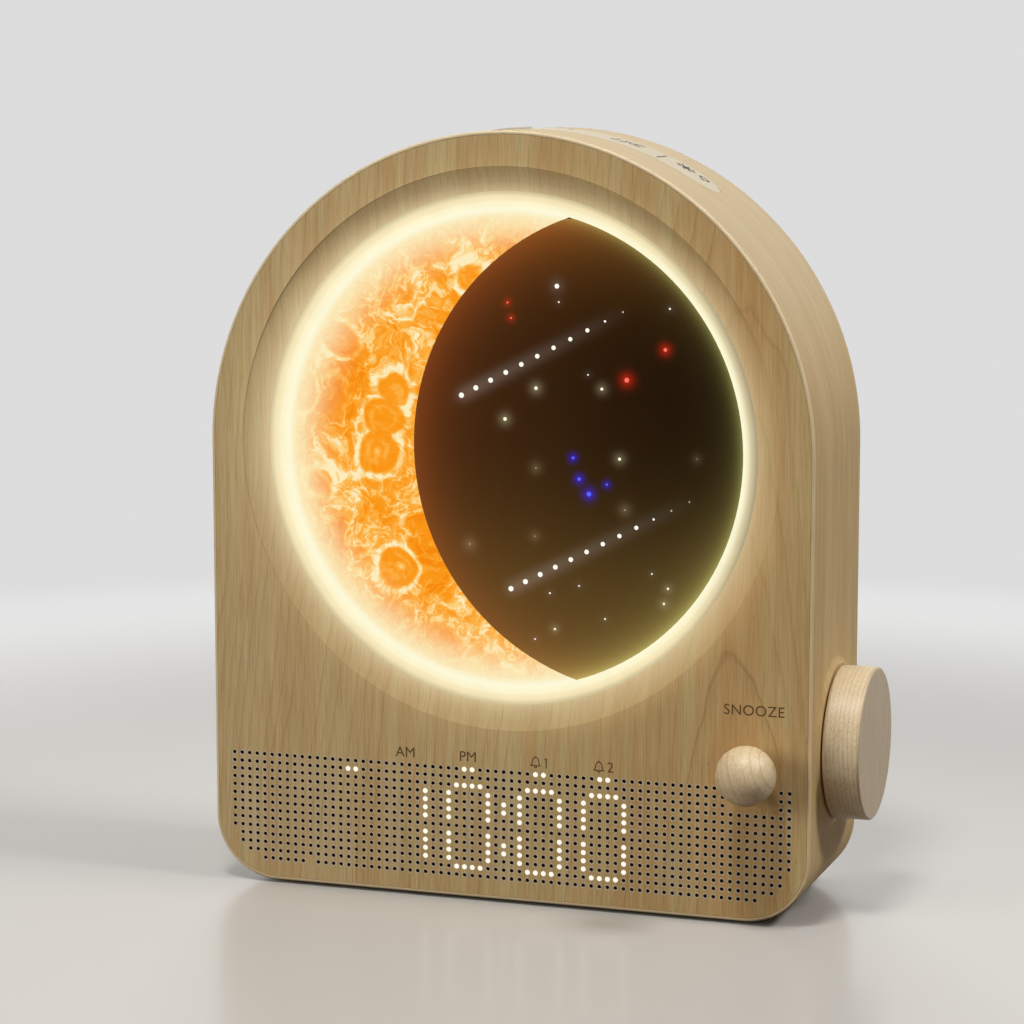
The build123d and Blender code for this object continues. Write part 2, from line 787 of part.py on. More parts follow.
with BuildPart() as encoder_body:
    with BuildSketch(side_plane(encoder_back)):
        Rectangle(encoder_width, encoder_tall)
        Circle(plunger_radius + running_fit, mode=Mode.SUBTRACT)
    extrude(amount=encoder_rear)
    with BuildSketch(side_plane(room_back)):
        Rectangle(encoder_width, encoder_tall)
        Circle(rotor_room, mode=Mode.SUBTRACT)
    extrude(amount=encoder_depth - encoder_rear - encoder_front)
    with BuildSketch(side_plane(inner_x)):
        Rectangle(encoder_width, encoder_tall)
        Circle(shaft_radius + running_fit, mode=Mode.SUBTRACT)
    extrude(amount=-encoder_front)
write(encoder_body, "encoder_body")

with BuildPart() as encoder_bush:
    with BuildSketch(side_plane(inner_x)):
        Circle(thread_radius)
        Circle(shaft_radius + running_fit, mode=Mode.SUBTRACT)
    extrude(amount=thread_length)
write(encoder_bush, "encoder_bush")

with BuildPart() as encoder_nut:
    with BuildSketch(side_plane(collar_x - nut_recess_depth)):
        RegularPolygon(nut_radius, 6)
        Circle(thread_radius + running_fit, mode=Mode.SUBTRACT)
    extrude(amount=nut_thickness)
write(encoder_nut, "encoder_nut")

with BuildPart() as encoder_plunger:
    with BuildSketch(side_plane(plunger_front)):
        Circle(rotor_room - 0.4)
    extrude(amount=-plunger_disc)
    with BuildSketch(side_plane(plunger_front)):
        Circle(plunger_radius)
    extrude(amount=-(plunger_front - encoder_back + 0.8))
write(encoder_plunger, "encoder_plunger")

with BuildPart() as knob_shaft:
    with BuildSketch(side_plane(shaft_start)):
        Circle(shaft_radius)
    extrude(amount=insert_end - 0.5 - shaft_start)
    with BuildSketch(side_plane(shaft_start + 0.6)):
        Circle(rotor_radius)
    extrude(amount=rotor_thickness)
write(knob_shaft, "knob_shaft")

with BuildPart() as knob_insert:
    with BuildSketch(side_plane(insert_end)):
        Circle(insert_radius)
        Circle(shaft_radius + running_fit, mode=Mode.SUBTRACT)
    extrude(amount=-insert_length)
write(knob_insert, "knob_insert")

with BuildPart() as side_knob:
    with BuildSketch(side_plane(knob_back)):
        Circle(knob_radius)
    extrude(amount=knob_thickness)
    fillet(side_knob.edges(), knob_round)
    with BuildSketch(side_plane(knob_back)):
        Circle(insert_radius + running_fit)
    extrude(amount=insert_end - knob_back, mode=Mode.SUBTRACT)
write(side_knob, "side_knob")

# ================================================================ snooze ball and its switch
bracket_back = mask_depth + bracket_thickness

with BuildPart() as snooze_ball:
    with Locations((ball_x, front_y + ball_depth, ball_height)):
        Sphere(ball_radius)
    with BuildSketch(front_plane(0, ball_x, ball_height)):
        Circle(stem_radius + running_fit)
    extrude(amount=-stem_start, mode=Mode.SUBTRACT)
write(snooze_ball, "snooze_ball")

with BuildPart() as snooze_stem:
    with BuildSketch(front_plane(stem_start, ball_x, ball_height)):
        Circle(stem_radius)
    extrude(amount=-(stem_end - stem_start))
    with BuildSketch(front_plane(collar_start, ball_x, ball_height)):
        Circle(stem_collar_radius)
    extrude(amount=-(collar_end - collar_start))
write(snooze_stem, "snooze_stem")

with BuildPart() as snooze_bush:
    with BuildSketch(front_plane(bush_front, ball_x, ball_height)):
        Circle(bush_radius)
    extrude(amount=-(bush_end - bush_front))
    with BuildSketch(front_plane(bracket_back, ball_x, ball_height)):
        Circle(bush_flange_radius)
    extrude(amount=-bush_flange)
    with BuildSketch(front_plane(bush_front, ball_x, ball_height)):
        Circle(stem_radius + running_fit)
    extrude(amount=-(bush_end - bush_front), mode=Mode.SUBTRACT)
write(snooze_bush, "snooze_bush")

with BuildPart() as snooze_bracket:
    with BuildSketch(front_plane(mask_depth, ball_x, ball_height)):
        Rectangle(bracket_width, bracket_tall)
        Circle(bush_radius + seam, mode=Mode.SUBTRACT)
    extrude(amount=-bracket_thickness)
    with BuildSketch(front_plane(bracket_back, ball_x, ball_height)):
        with Locations((0, bracket_post_drop), (0, -bracket_post_drop)):
            Circle(bracket_post_radius)
    extrude(amount=-(snooze_board_depth - bracket_back))
write(snooze_bracket, "snooze_bracket")

spring_start = collar_end + snooze_travel + 0.1 + spring_wire / 2
spring_height = snooze_board_depth - 0.05 - spring_wire / 2 - spring_start
with BuildPart() as snooze_spring:
    with BuildLine() as coils:
        Helix(
            spring_height / spring_turns,
            spring_height,
            spring_radius,
            center=(ball_x, front_y + spring_start, ball_height),
            direction=(0, 1, 0),
        )
    with BuildSketch(Plane(origin=coils.line @ 0, z_dir=coils.line % 0)):
        Circle(spring_wire / 2)
    sweep(is_frenet=True)
write(snooze_spring, "snooze_spring")

# ================================================================ top strip, touch board and key
with BuildPart() as touch_strip:
    with BuildSketch(Plane.XY.offset(above_arch)):
        with Locations((0, strip_y)):
            SlotOverall(strip_length, strip_width)
    extrude(amount=-arch_radius)
    with BuildSketch(front_plane(0)):
        Circle(arch_radius)
        Circle(arch_radius - strip_thickness, mode=Mode.SUBTRACT)
    extrude(amount=-body_depth, mode=Mode.INTERSECT)
    with BuildSketch(key_plane.offset(arch_radius + wall)):
        SlotOverall(key_length + 2 * rest_gap, key_width + 2 * rest_gap)
    extrude(amount=-3 * wall, mode=Mode.SUBTRACT)
write(touch_strip, "touch_strip")

with BuildPart() as touch_board:
    with BuildSketch(front_plane(strip_y - front_y - touch_width / 2)):
        Circle(inner_x - seam)
        Circle(inner_x - seam - touch_thickness, mode=Mode.SUBTRACT)
        with BuildLine() as wedge:
            Polyline(
                (0, 0),
                (arch_radius * sin(radians(touch_from)), arch_radius * cos(radians(touch_from))),
                (arch_radius * sin(radians(touch_from)), 1.5 * arch_radius),
                (1.5 * arch_radius * sin(radians(touch_to)), 1.5 * arch_radius * cos(radians(touch_to))),
                close=True,
            )
        make_face(mode=Mode.INTERSECT)
    extrude(amount=-touch_width)
write(touch_board, "touch_board")

key_flange_half = key_length / 2 + key_flange
key_flange_top = sqrt(inner_x**2 - key_flange_half**2) - seam
key_stem_end = key_flange_top - key_flange_thickness - key_stem
key_switch_top = key_stem_end - key_travel - seam
key_board_top = key_switch_top - button_height - switch_height
key_plate_top = key_board_top - thin_board
with BuildPart() as top_key:
    with BuildSketch(key_plane.offset(key_flange_top)):
        SlotOverall(key_length, key_width)
    extrude(amount=2 * wall)
    with BuildSketch(front_plane(0)):
        Circle(arch_radius + key_proud)
    extrude(amount=-body_depth, mode=Mode.INTERSECT)
    with BuildSketch(key_plane.offset(key_flange_top)):
        SlotOverall(2 * key_flange_half, key_width + 2 * key_flange)
    extrude(amount=-key_flange_thickness)
    with BuildSketch(key_plane.offset(key_flange_top - key_flange_thickness)):
        Circle(key_stem_radius)
    extrude(amount=-key_stem)
write(top_key, "top_key")

with BuildPart() as key_bracket:
    with BuildSketch(key_plane.offset(key_plate_top - key_plate_thickness)):
        with Locations((key_post_reach, 0), (-key_post_reach, 0)):
            Circle(bracket_post_radius)
    extrude(amount=2 * wall + inner_x - key_plate_top)
    with BuildSketch(front_plane(0)):
        Circle(inner_x - seam)
    extrude(amount=-body_depth, mode=Mode.INTERSECT)
    with BuildSketch(key_plane.offset(key_plate_top)):
        RectangleRounded(key_plate_length, key_plate_width, bracket_post_radius)
    extrude(amount=-key_plate_thickness)
write(key_bracket, "key_bracket")

# The snooze ball's and the key's switches, each on its own small board.
with BuildPart() as switch_boards:
    with BuildSketch(front_plane(snooze_board_depth, ball_x, ball_height)):
        Rectangle(bracket_width, bracket_tall)
    extrude(amount=-thin_board)
    with BuildSketch(key_plane.offset(key_plate_top)):
        Rectangle(key_board_length, key_plate_width)
    extrude(amount=thin_board)
write(switch_boards, "switch_boards")

with BuildPart() as push_switches:
    with BuildSketch(front_plane(snooze_board_depth, ball_x, ball_height)):
        Rectangle(switch_size, switch_size)
    extrude(amount=switch_height)
    with BuildSketch(front_plane(snooze_board_depth - switch_height, ball_x, ball_height)):
        Circle(button_radius)
    extrude(amount=button_height)
    with BuildSketch(key_plane.offset(key_board_top)):
        Rectangle(switch_size, switch_size)
    extrude(amount=switch_height)
    with BuildSketch(key_plane.offset(key_board_top + switch_height)):
        Circle(button_radius)
    extrude(amount=button_height)
write(push_switches, "push_switches")

# ================================================================ rear cover and main board
screw_ring = arch_radius - cover_screw_inset
arch_screw = screw_ring * sin(radians(45))
side_screw = side_block_height - arch_height
bottom_screw = foot_height + cover_screw_inset - arch_height
cover_places = []
for side in (-1, 1):
    cover_places.append((side * arch_screw, arch_screw))
    cover_places.append((side * screw_ring, side_screw))
    cover_places.append((side * bottom_block_x, bottom_screw))
post_places = []
for x in (board_post_inset - main_width / 2, main_width / 2 - board_post_inset):
    for z in (main_low + board_post_inset, main_low + main_tall - board_post_inset):
        post_places.append((x, z - arch_height))

with BuildPart() as rear_cover:
    with BuildSketch(rear_plane(cover_depth)):
        arch_face(rear_lip + seam)
        with Locations((-usb_x, usb_height - arch_height)):
            SlotOverall(usb_width + 2 * usb_opening_gap, usb_tall + 2 * usb_opening_gap, mode=Mode.SUBTRACT)
        with Locations((0, vent_height - arch_height)):
            with GridLocations(vent_length, vent_pitch, 1, vent_count):
                SlotOverall(vent_length, vent_width, mode=Mode.SUBTRACT)
        with Locations(*cover_places):
            Circle(screw_radius + screw_play, mode=Mode.SUBTRACT)
    extrude(amount=cover_thickness)
    with BuildSketch(rear_plane(body_depth)):
        with Locations(*cover_places):
            Circle(screw_head_radius + screw_play)
    extrude(amount=-screw_sink, mode=Mode.SUBTRACT)
    with BuildSketch(rear_plane(cover_depth)):
        with Locations(*post_places):
            Circle(standoff_radius)
    extrude(amount=-standoff)
    with BuildSketch(rear_plane(cover_depth - standoff)):
        with Locations(*post_places):
            Circle(pin_radius)
    extrude(amount=-(board + pin_end))
write(rear_cover, "rear_cover")

with BuildPart() as cover_screws:
    with BuildSketch(rear_plane(body_depth - screw_sink)):
        with Locations(*cover_places):
            Circle(screw_head_radius)
    extrude(amount=screw_sink - seam)
    with BuildSketch(rear_plane(body_depth - screw_sink)):
        with Locations(*cover_places):
            Circle(screw_radius - running_fit)
    extrude(amount=-cover_screw_length)
write(cover_screws, "cover_screws")

with BuildPart() as screw_blocks:
    with BuildSketch(rear_plane(cover_depth)):
        with Locations(*cover_places):
            Circle(block_radius)
        arch_face(wall + seam, mode=Mode.INTERSECT)
        with Locations(*cover_places):
            Circle(screw_radius, mode=Mode.SUBTRACT)
    extrude(amount=-block_length)
write(screw_blocks, "screw_blocks")

with BuildPart() as main_board:
    with BuildSketch(front_plane(main_depth)):
        with Locations((0, main_low + main_tall / 2 - arch_height)):
            Rectangle(main_width, main_tall)
        with Locations(*post_places):
            Circle(pin_radius + seam, mode=Mode.SUBTRACT)
    extrude(amount=-board)
write(main_board, "main_board")

# Blocks on the main board: X, height, width, height of the block's face, thickness.
blocks = (
    (-14, 28, 12, 12, 1.6),
    (16, 54, 18, 16, 2.8),
    (30, 29, 9, 9, 4.0),
    (2, 38, 20, 5, 6.0),
    (-32, 30, 7, 10, 2.2),
)
with BuildPart() as board_components:
    for x, height, width, tall, thickness in blocks:
        with BuildSketch(front_plane(main_depth, x, height)):
            Rectangle(width, tall)
        extrude(amount=thickness)
    for x, height in capacitors:
        with BuildSketch(front_plane(main_depth, x, height)):
            Circle(capacitor_radius)
        extrude(amount=capacitor_height)
write(board_components, "board_components")

with BuildPart() as coin_cell_holder:
    with BuildSketch(front_plane(main_depth, cell_x, cell_height)):
        Circle(cell_radius + cell_play + cell_wall)
    extrude(amount=cell_floor + cell_thickness + cell_rim)
    with BuildSketch(front_plane(main_depth - cell_floor, cell_x, cell_height)):
        Circle(cell_radius + cell_play)
    extrude(amount=cell_thickness + cell_rim, mode=Mode.SUBTRACT)
write(coin_cell_holder, "coin_cell_holder")

with BuildPart() as coin_cell:
    with BuildSketch(front_plane(main_depth - cell_floor, cell_x, cell_height)):
        Circle(cell_radius)
    extrude(amount=cell_thickness)
write(coin_cell, "coin_cell")

socket_back = main_depth + board
with BuildPart() as usb_socket:
    with BuildSketch(rear_plane(socket_back, usb_x, usb_height)):
        SlotOverall(usb_width, usb_tall)
    extrude(amount=socket_length)
    with BuildSketch(rear_plane(socket_back + socket_length, usb_x, usb_height)):
        SlotOverall(usb_mouth_width, usb_mouth_tall)
    extrude(amount=-socket_mouth, mode=Mode.SUBTRACT)
    with BuildSketch(rear_plane(socket_back + socket_length - socket_mouth, usb_x, usb_height)):
        Rectangle(tongue_width, tongue_thickness)
    extrude(amount=tongue_length)
write(usb_socket, "usb_socket")


# ================================================================ cable
def cord_radii(points):
    """The largest even bends of a cord's route: one radius for each of its inner points."""
    radii = []
    for before, corner, after in zip(points, points[1:], points[2:]):
        first = Vector(*corner) - Vector(*before)
        second = Vector(*after) - Vector(*corner)
        half_turn = radians(first.get_angle(second)) / 2
        radii.append(0.45 * min(first.length, second.length) / tan(half_turn))
    return radii


plug_c_front = rear_y + plug_c_gap
relief_end = plug_c_front + plug_c_length + relief_length
with BuildPart() as usb_c_plug:
    with BuildSketch(rear_plane(plug_c_front - front_y, usb_x, usb_height)):
        RectangleRounded(plug_c_width, plug_c_tall, plug_c_corner)
    extrude(amount=plug_c_length)
    with BuildSketch(rear_plane(relief_end - relief_length - front_y, usb_x, usb_height)):
        Circle(relief_radius)
    with BuildSketch(rear_plane(relief_end - front_y, usb_x, usb_height)):
        Circle(relief_tip)
    loft()
write(usb_c_plug, "usb_c_plug")

with BuildPart() as usb_c_shell:
    with BuildSketch(rear_plane(plug_c_front - front_y, usb_x, usb_height)):
        SlotOverall(shell_c_width, shell_c_tall)
        SlotOverall(shell_c_width - 2 * shell_c_wall, shell_c_tall - 2 * shell_c_wall, mode=Mode.SUBTRACT)
    extrude(amount=-shell_c_length)
write(usb_c_shell, "usb_c_shell")

cable_route = (
    (usb_x, relief_end, usb_height),
    (usb_x, relief_end + 12.0, usb_height),
    (-4.5, 83.0, 12.5),
    (-15.0, 90.5, 6.0),
    (-29.0, 94.6, 2.4),
    (-48.5, 94.3, 1.8),
    (-67.5, 91.9, 2.0),
)
tail_route = (
    (-67.5, 40.9, 5.3),
    (plug_a_end - 9.0, plug_a_y, plug_a_height),
    (plug_a_end, plug_a_y, plug_a_height),
)
print("cable radii", [round(radius, 1) for radius in cord_radii(cable_route)])
print("tail radii", [round(radius, 1) for radius in cord_radii(tail_route)])

with BuildPart() as usb_cable:
    with BuildLine() as cable_line:
        FilletPolyline(*cable_route, radius=cord_radii(cable_route))
    with BuildSketch(Plane(origin=cable_line.line @ 0, z_dir=cable_line.line % 0)):
        Circle(cable_radius)
    sweep()
write(usb_cable, "usb_cable")

with BuildPart() as cable_coil:
    with BuildSketch(Plane(origin=(coil_x, coil_y, coil_low))):
        Circle(coil_outer_radius)
        Circle(coil_inner_radius, mode=Mode.SUBTRACT)
    extrude(amount=coil_high - coil_low)
    fillet(cable_coil.edges().filter_by(GeomType.CIRCLE), cable_radius - seam)
write(cable_coil, "cable_coil")

tie_plane = Plane(
    origin=(coil_x, coil_y, 0),
    x_dir=(cos(radians(tie_angle)), sin(radians(tie_angle)), 0),
    z_dir=(-sin(radians(tie_angle)), cos(radians(tie_angle)), 0),
)
with BuildPart() as cable_tie:
    with BuildSketch(tie_plane):
        with Locations(((coil_inner_radius + coil_outer_radius) / 2 - 0.2, -(coil_low + coil_high) / 2)):
            RectangleRounded(
                coil_outer_radius - coil_inner_radius + 2 * tie_thickness + 0.7,
                coil_high - coil_low + 2 * tie_thickness + 0.1,
                tie_corner,
            )
            RectangleRounded(
                coil_outer_radius - coil_inner_radius + 0.7,
                coil_high - coil_low + 0.1,
                tie_corner - tie_thickness,
                mode=Mode.SUBTRACT,
            )
    extrude(amount=tie_width / 2, both=True)
write(cable_tie, "cable_tie")

with BuildPart() as cable_tail:
    with BuildLine() as tail_line:
        FilletPolyline(*tail_route, radius=cord_radii(tail_route))
    with BuildSketch(Plane(origin=tail_line.line @ 0, z_dir=tail_line.line % 0)):
        Circle(cable_radius)
    sweep()
write(cable_tail, "cable_tail")

plug_a_front = plug_a_end + relief_length
shell_a_front = plug_a_front + plug_a_body
with BuildPart() as usb_a_plug:
    with BuildSketch(side_plane(plug_a_end, plug_a_y, plug_a_height)):
        Circle(relief_tip)
    with BuildSketch(side_plane(plug_a_front, plug_a_y, plug_a_height)):
        Circle(relief_radius)
    loft()
    with BuildSketch(side_plane(plug_a_front, plug_a_y, plug_a_height)):
        RectangleRounded(plug_a_width, plug_a_tall, plug_a_corner)
    extrude(amount=plug_a_body)
    # The contact tongue fills the shell's lower half.
    with BuildSketch(side_plane(shell_a_front, plug_a_y, plug_a_height - plug_a_shell_tall / 2 + shell_a_wall)):
        Rectangle(
            plug_a_shell_width - 2 * shell_a_wall - 2 * seam,
            tongue_a_thickness,
            align=(Align.CENTER, Align.MIN),
        )
    extrude(amount=plug_a_shell - 0.5)
write(usb_a_plug, "usb_a_plug")

with BuildPart() as usb_a_shell:
    with BuildSketch(side_plane(shell_a_front, plug_a_y, plug_a_height)):
        Rectangle(plug_a_shell_width, plug_a_shell_tall)
        Rectangle(
            plug_a_shell_width - 2 * shell_a_wall,
            plug_a_shell_tall - 2 * shell_a_wall,
            mode=Mode.SUBTRACT,
        )
    extrude(amount=plug_a_shell)
write(usb_a_shell, "usb_a_shell")
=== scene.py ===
from math import cos, e, hypot, pi, radians, sin

import bpy
import numpy as np
from mathutils import Matrix, Vector


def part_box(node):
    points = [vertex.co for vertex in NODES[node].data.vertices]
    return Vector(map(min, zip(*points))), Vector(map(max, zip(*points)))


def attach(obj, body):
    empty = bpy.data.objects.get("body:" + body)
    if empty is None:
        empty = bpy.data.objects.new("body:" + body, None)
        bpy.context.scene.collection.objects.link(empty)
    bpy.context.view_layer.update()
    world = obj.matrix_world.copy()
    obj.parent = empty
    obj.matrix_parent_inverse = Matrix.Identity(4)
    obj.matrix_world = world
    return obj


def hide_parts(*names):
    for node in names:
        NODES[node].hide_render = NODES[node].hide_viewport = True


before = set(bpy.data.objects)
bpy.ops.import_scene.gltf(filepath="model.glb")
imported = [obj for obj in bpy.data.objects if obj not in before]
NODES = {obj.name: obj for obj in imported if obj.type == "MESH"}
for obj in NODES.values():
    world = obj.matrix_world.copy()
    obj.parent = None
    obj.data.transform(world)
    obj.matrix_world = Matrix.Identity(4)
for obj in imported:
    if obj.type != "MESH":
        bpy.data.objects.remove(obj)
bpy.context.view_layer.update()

# Sizes are in mm, as in the part's source: X to the right, Y to the rear, Z up from the table.
MM = 0.001
FRONT = -29.7                          # the face's plane
INK_Y = FRONT - 0.03                   # printed signs lie a hair before the face
ARCH_Z, ARCH_R = 138.5, 95.3           # the arch; the dial shares its centre, at X = 0
DISC_R, RING_R, DISH_R = 72.2, 77.5, 85.1
DISC_DEPTH, RING_DEPTH = 6.0, 3.3      # behind the face
NIGHT_X, NIGHT_DZ, NIGHT_R = 42.0, 0.8, 72.9
BALL_X, BALL_Z = 78.3, 47.6
KNOB_X, KNOB_Z, KNOB_END = 102.0, 51.2, 107.8


# ------------------------------------------------------------------ camera
CAMERA_PLACE = (0.30165, -0.89691, 0.24943)
CAMERA_DOWN, CAMERA_TURN = 8.001, 19.022
camera = bpy.data.objects.new("camera", bpy.data.cameras.new("camera"))
bpy.context.scene.collection.objects.link(camera)
camera.location = CAMERA_PLACE
camera.rotation_euler = (radians(90 - CAMERA_DOWN), 0, radians(CAMERA_TURN))
camera.data.lens = 108.88
camera.data.sensor_width = 36.0
bpy.context.scene.camera = camera


# ------------------------------------------------------------------ materials
def rgb(r, g, b):
    """A colour as it shows on a screen, 0 to 255, in the scene's linear values."""
    return tuple((c / 255 / 12.92) if c <= 10.31 else ((c / 255 + 0.055) / 1.055) ** 2.4
                 for c in (r, g, b)) + (1.0,)


class Shader:
    """A material's nodes, written as expressions. self.place is the point in mm."""

    def __init__(self, name):
        self.material = bpy.data.materials.new(name)
        self.material.use_nodes = True
        self.tree = self.material.node_tree
        self.tree.nodes.clear()
        self.output = self.tree.nodes.new("ShaderNodeOutputMaterial")
        self.place = self.scale(self.node("ShaderNodeTexCoord").outputs["Object"], (1000,) * 3)

    def node(self, kind, inputs=None, **settings):
        n = self.tree.nodes.new(kind)
        for key, value in settings.items():
            setattr(n, key, value)
        for key, value in (inputs or {}).items():
            if isinstance(value, bpy.types.NodeSocket):
                self.tree.links.new(value, n.inputs[key])
            elif value is not None:
                n.inputs[key].default_value = value
        return n

    def math(self, operation, a, b=None, c=None, clamp=False):
        inputs = {0: a, 1: b} if c is None else {0: a, 1: b, 2: c}
        return self.node("ShaderNodeMath", inputs, operation=operation, use_clamp=clamp).outputs[0]

    def add(self, a, b):
        return self.math("ADD", a, b)

    def mul(self, a, b):
        return self.math("MULTIPLY", a, b)

    def hypot(self, a, b):
        return self.math("SQRT", self.add(self.mul(a, a), self.mul(b, b)))

    def fade(self, distance, length):
        """1 at distance 0, and e times less every length mm."""
        return self.math("POWER", e, self.mul(distance, -1 / length))

    def absolute(self, a):
        return self.math("ABSOLUTE", a)

    def vector(self, operation, a, b=None):
        return self.node("ShaderNodeVectorMath", {0: a, 1: b}, operation=operation).outputs[0]

    def scale(self, v, by):
        return self.vector("MULTIPLY", v, by)

    def split(self, v=None):
        n = self.node("ShaderNodeSeparateXYZ", {0: v or self.place})
        return n.outputs[0], n.outputs[1], n.outputs[2]

    def join(self, x, y, z):
        return self.node("ShaderNodeCombineXYZ", {0: x, 1: y, 2: z}).outputs[0]

    def noise(self, v, scale=1.0, detail=2.0, rough=0.5, distortion=0.0, seed=0.0):
        return self.node("ShaderNodeTexNoise",
                         {"Vector": v, "W": seed, "Scale": scale, "Detail": detail, "Roughness": rough,
                          "Distortion": distortion}, noise_dimensions="4D").outputs[0]

    def cells(self, v, scale=1.0, feature="F1", randomness=1.0):
        return self.node("ShaderNodeTexVoronoi", {"Vector": v, "Scale": scale, "Randomness": randomness},
                         feature=feature)

    def ramp(self, factor, stops, interpolation="EASE"):
        """stops: (position, colour or grey level)."""
        n = self.node("ShaderNodeValToRGB", {0: factor})
        band = n.color_ramp
        band.interpolation = interpolation
        while len(band.elements) < len(stops):
            band.elements.new(0.5)
        for element, (at, colour) in zip(band.elements, stops):
            element.position = at
            element.color = colour if isinstance(colour, tuple) else (colour, colour, colour, 1)
        return n.outputs[0]

    def mix(self, factor, a, b, blend="MIX"):
        n = self.node("ShaderNodeMix", {0: factor, 6: a, 7: b}, data_type="RGBA", blend_type=blend)
        return n.outputs[2]

    def ease(self, v, low, high, to_low=0.0, to_high=1.0):
        """v eased from to_low at low to to_high at high."""
        return self.node("ShaderNodeMapRange",
                         {0: v, 1: low, 2: high, 3: to_low, 4: to_high},
                         interpolation_type="SMOOTHSTEP").outputs[0]

    def bump(self, height, distance, strength=1.0):
        return self.node("ShaderNodeBump",
                         {"Height": height, "Distance": distance * MM, "Strength": strength}).outputs[0]

    def surface(self, colour, rough, normal=None, **more):
        """Ends the material in a Principled BSDF. more: its other inputs, spaces as underscores."""
        inputs = {"Base Color": colour, "Roughness": rough, "Normal": normal}
        inputs.update({key.replace("_", " "): value for key, value in more.items()})
        n = self.node("ShaderNodeBsdfPrincipled", inputs)
        self.tree.links.new(n.outputs[0], self.output.inputs[0])
        return self.material


HEART_DEPTH = 30.0           # mm from a plain-sawn board's face to the heart of the trunk


def wood_rings(s, across, along, depth, seed, spacing, taper, warp):
    """Counts the growth rings of a plain-sawn board: the fraction is the place within a ring."""
    slow = s.noise(s.join(s.mul(across, 0.011), s.mul(along, 0.006), s.mul(depth, 0.01)), seed=seed)
    sway = s.noise(s.join(s.mul(across, 0.03), s.mul(along, 0.011), s.mul(depth, 0.02)),
                   detail=3, seed=seed + 7)
    x = s.add(across, s.mul(s.add(slow, -0.5), warp))
    x = s.add(x, s.mul(s.add(sway, -0.5), warp * 0.3))
    r = s.math("SQRT", s.add(s.mul(x, x), HEART_DEPTH ** 2))
    r = s.add(r, s.mul(along, taper))
    number = s.mul(r, 1 / spacing)
    wobble = s.noise(s.join(s.mul(across, 0.05), s.mul(along, 0.02), 0.0), detail=4, seed=seed + 3)
    return s.add(number, s.mul(wobble, 1.3))


def wood_colour(s, across, along, depth, seed=0.0, tone=0.0, spacing=3.0, taper=0.085, warp=30.0,
                contrast=1.0, heart=0.0):
    """Pale maple-like wood, and the height of its grain for bump. spacing is between rings, tone mixes
    in a paler colour, and heart is the strength of the reddish middle of the board."""
    number = wood_rings(s, across, along, depth, seed, spacing, taper, warp)
    late = s.math("FRACT", number)
    late = s.ramp(late, [(0.0, 0.15), (0.05, 0.0), (0.6, 0.04), (0.9, 0.3), (0.955, 1.0), (1.0, 0.15)])
    each = s.noise(s.join(s.math("FLOOR", number), 0.0, 0.0), scale=3.7, detail=0, seed=seed + 1)
    late = s.mul(late, s.ease(each, 0.32, 0.52, 0.2, 1.0))
    fibre = s.noise(s.join(s.mul(across, 3.8), s.mul(along, 0.075), s.mul(depth, 3.8)),
                    detail=4, rough=0.65, seed=seed + 11)
    soft = s.noise(s.join(s.mul(across, 0.16), s.mul(along, 0.012), s.mul(depth, 0.16)),
                   detail=3, seed=seed + 5)
    dash = s.noise(s.join(s.mul(across, 2.1), s.mul(along, 0.22), s.mul(depth, 2.1)),
                   detail=1, seed=seed + 13)
    dash = s.ease(dash, 0.70, 0.80)
    band = s.noise(s.join(s.mul(across, 0.55), s.mul(along, 0.016), s.mul(depth, 0.55)),
                   detail=3, rough=0.6, seed=seed + 21)
    base = s.mix(s.ease(soft, 0.35, 0.65), rgb(198, 164, 108), rgb(210, 184, 129))
    base = s.mix(s.ease(band, 0.42, 0.62, 0.0, 0.45 * contrast), base, rgb(200, 158, 106))
    base = s.mix(s.ease(band, 0.5, 0.36, 0.0, 0.4 * contrast), base, rgb(206, 192, 150))
    if heart:
        middle = s.absolute(s.add(across, s.mul(s.add(soft, -0.5), 16.0)))
        middle = s.ease(middle, 19.0, 3.0, 0.0, heart)
        base = s.mix(middle, base, rgb(200, 148, 88))
    if tone:
        base = s.mix(tone, base, rgb(242, 226, 196))
    base = s.mix(s.mul(late, 0.55 * contrast), base, rgb(148, 106, 58))
    base = s.mix(s.ease(fibre, 0.48, 0.72, 0.0, 0.6 * contrast), base, rgb(150, 114, 66))
    base = s.mix(s.ease(fibre, 0.5, 0.28, 0.0, 0.4 * contrast), base, rgb(234, 216, 172))
    base = s.mix(s.mul(dash, 0.5 * contrast), base, rgb(120, 84, 46))
    height = s.add(s.mul(fibre, 0.7), s.add(s.mul(late, -0.35), s.mul(dash, -0.6)))
    return base, height


HEART_X = 74.0               # the board's heart runs up through the snooze ball's side of the face


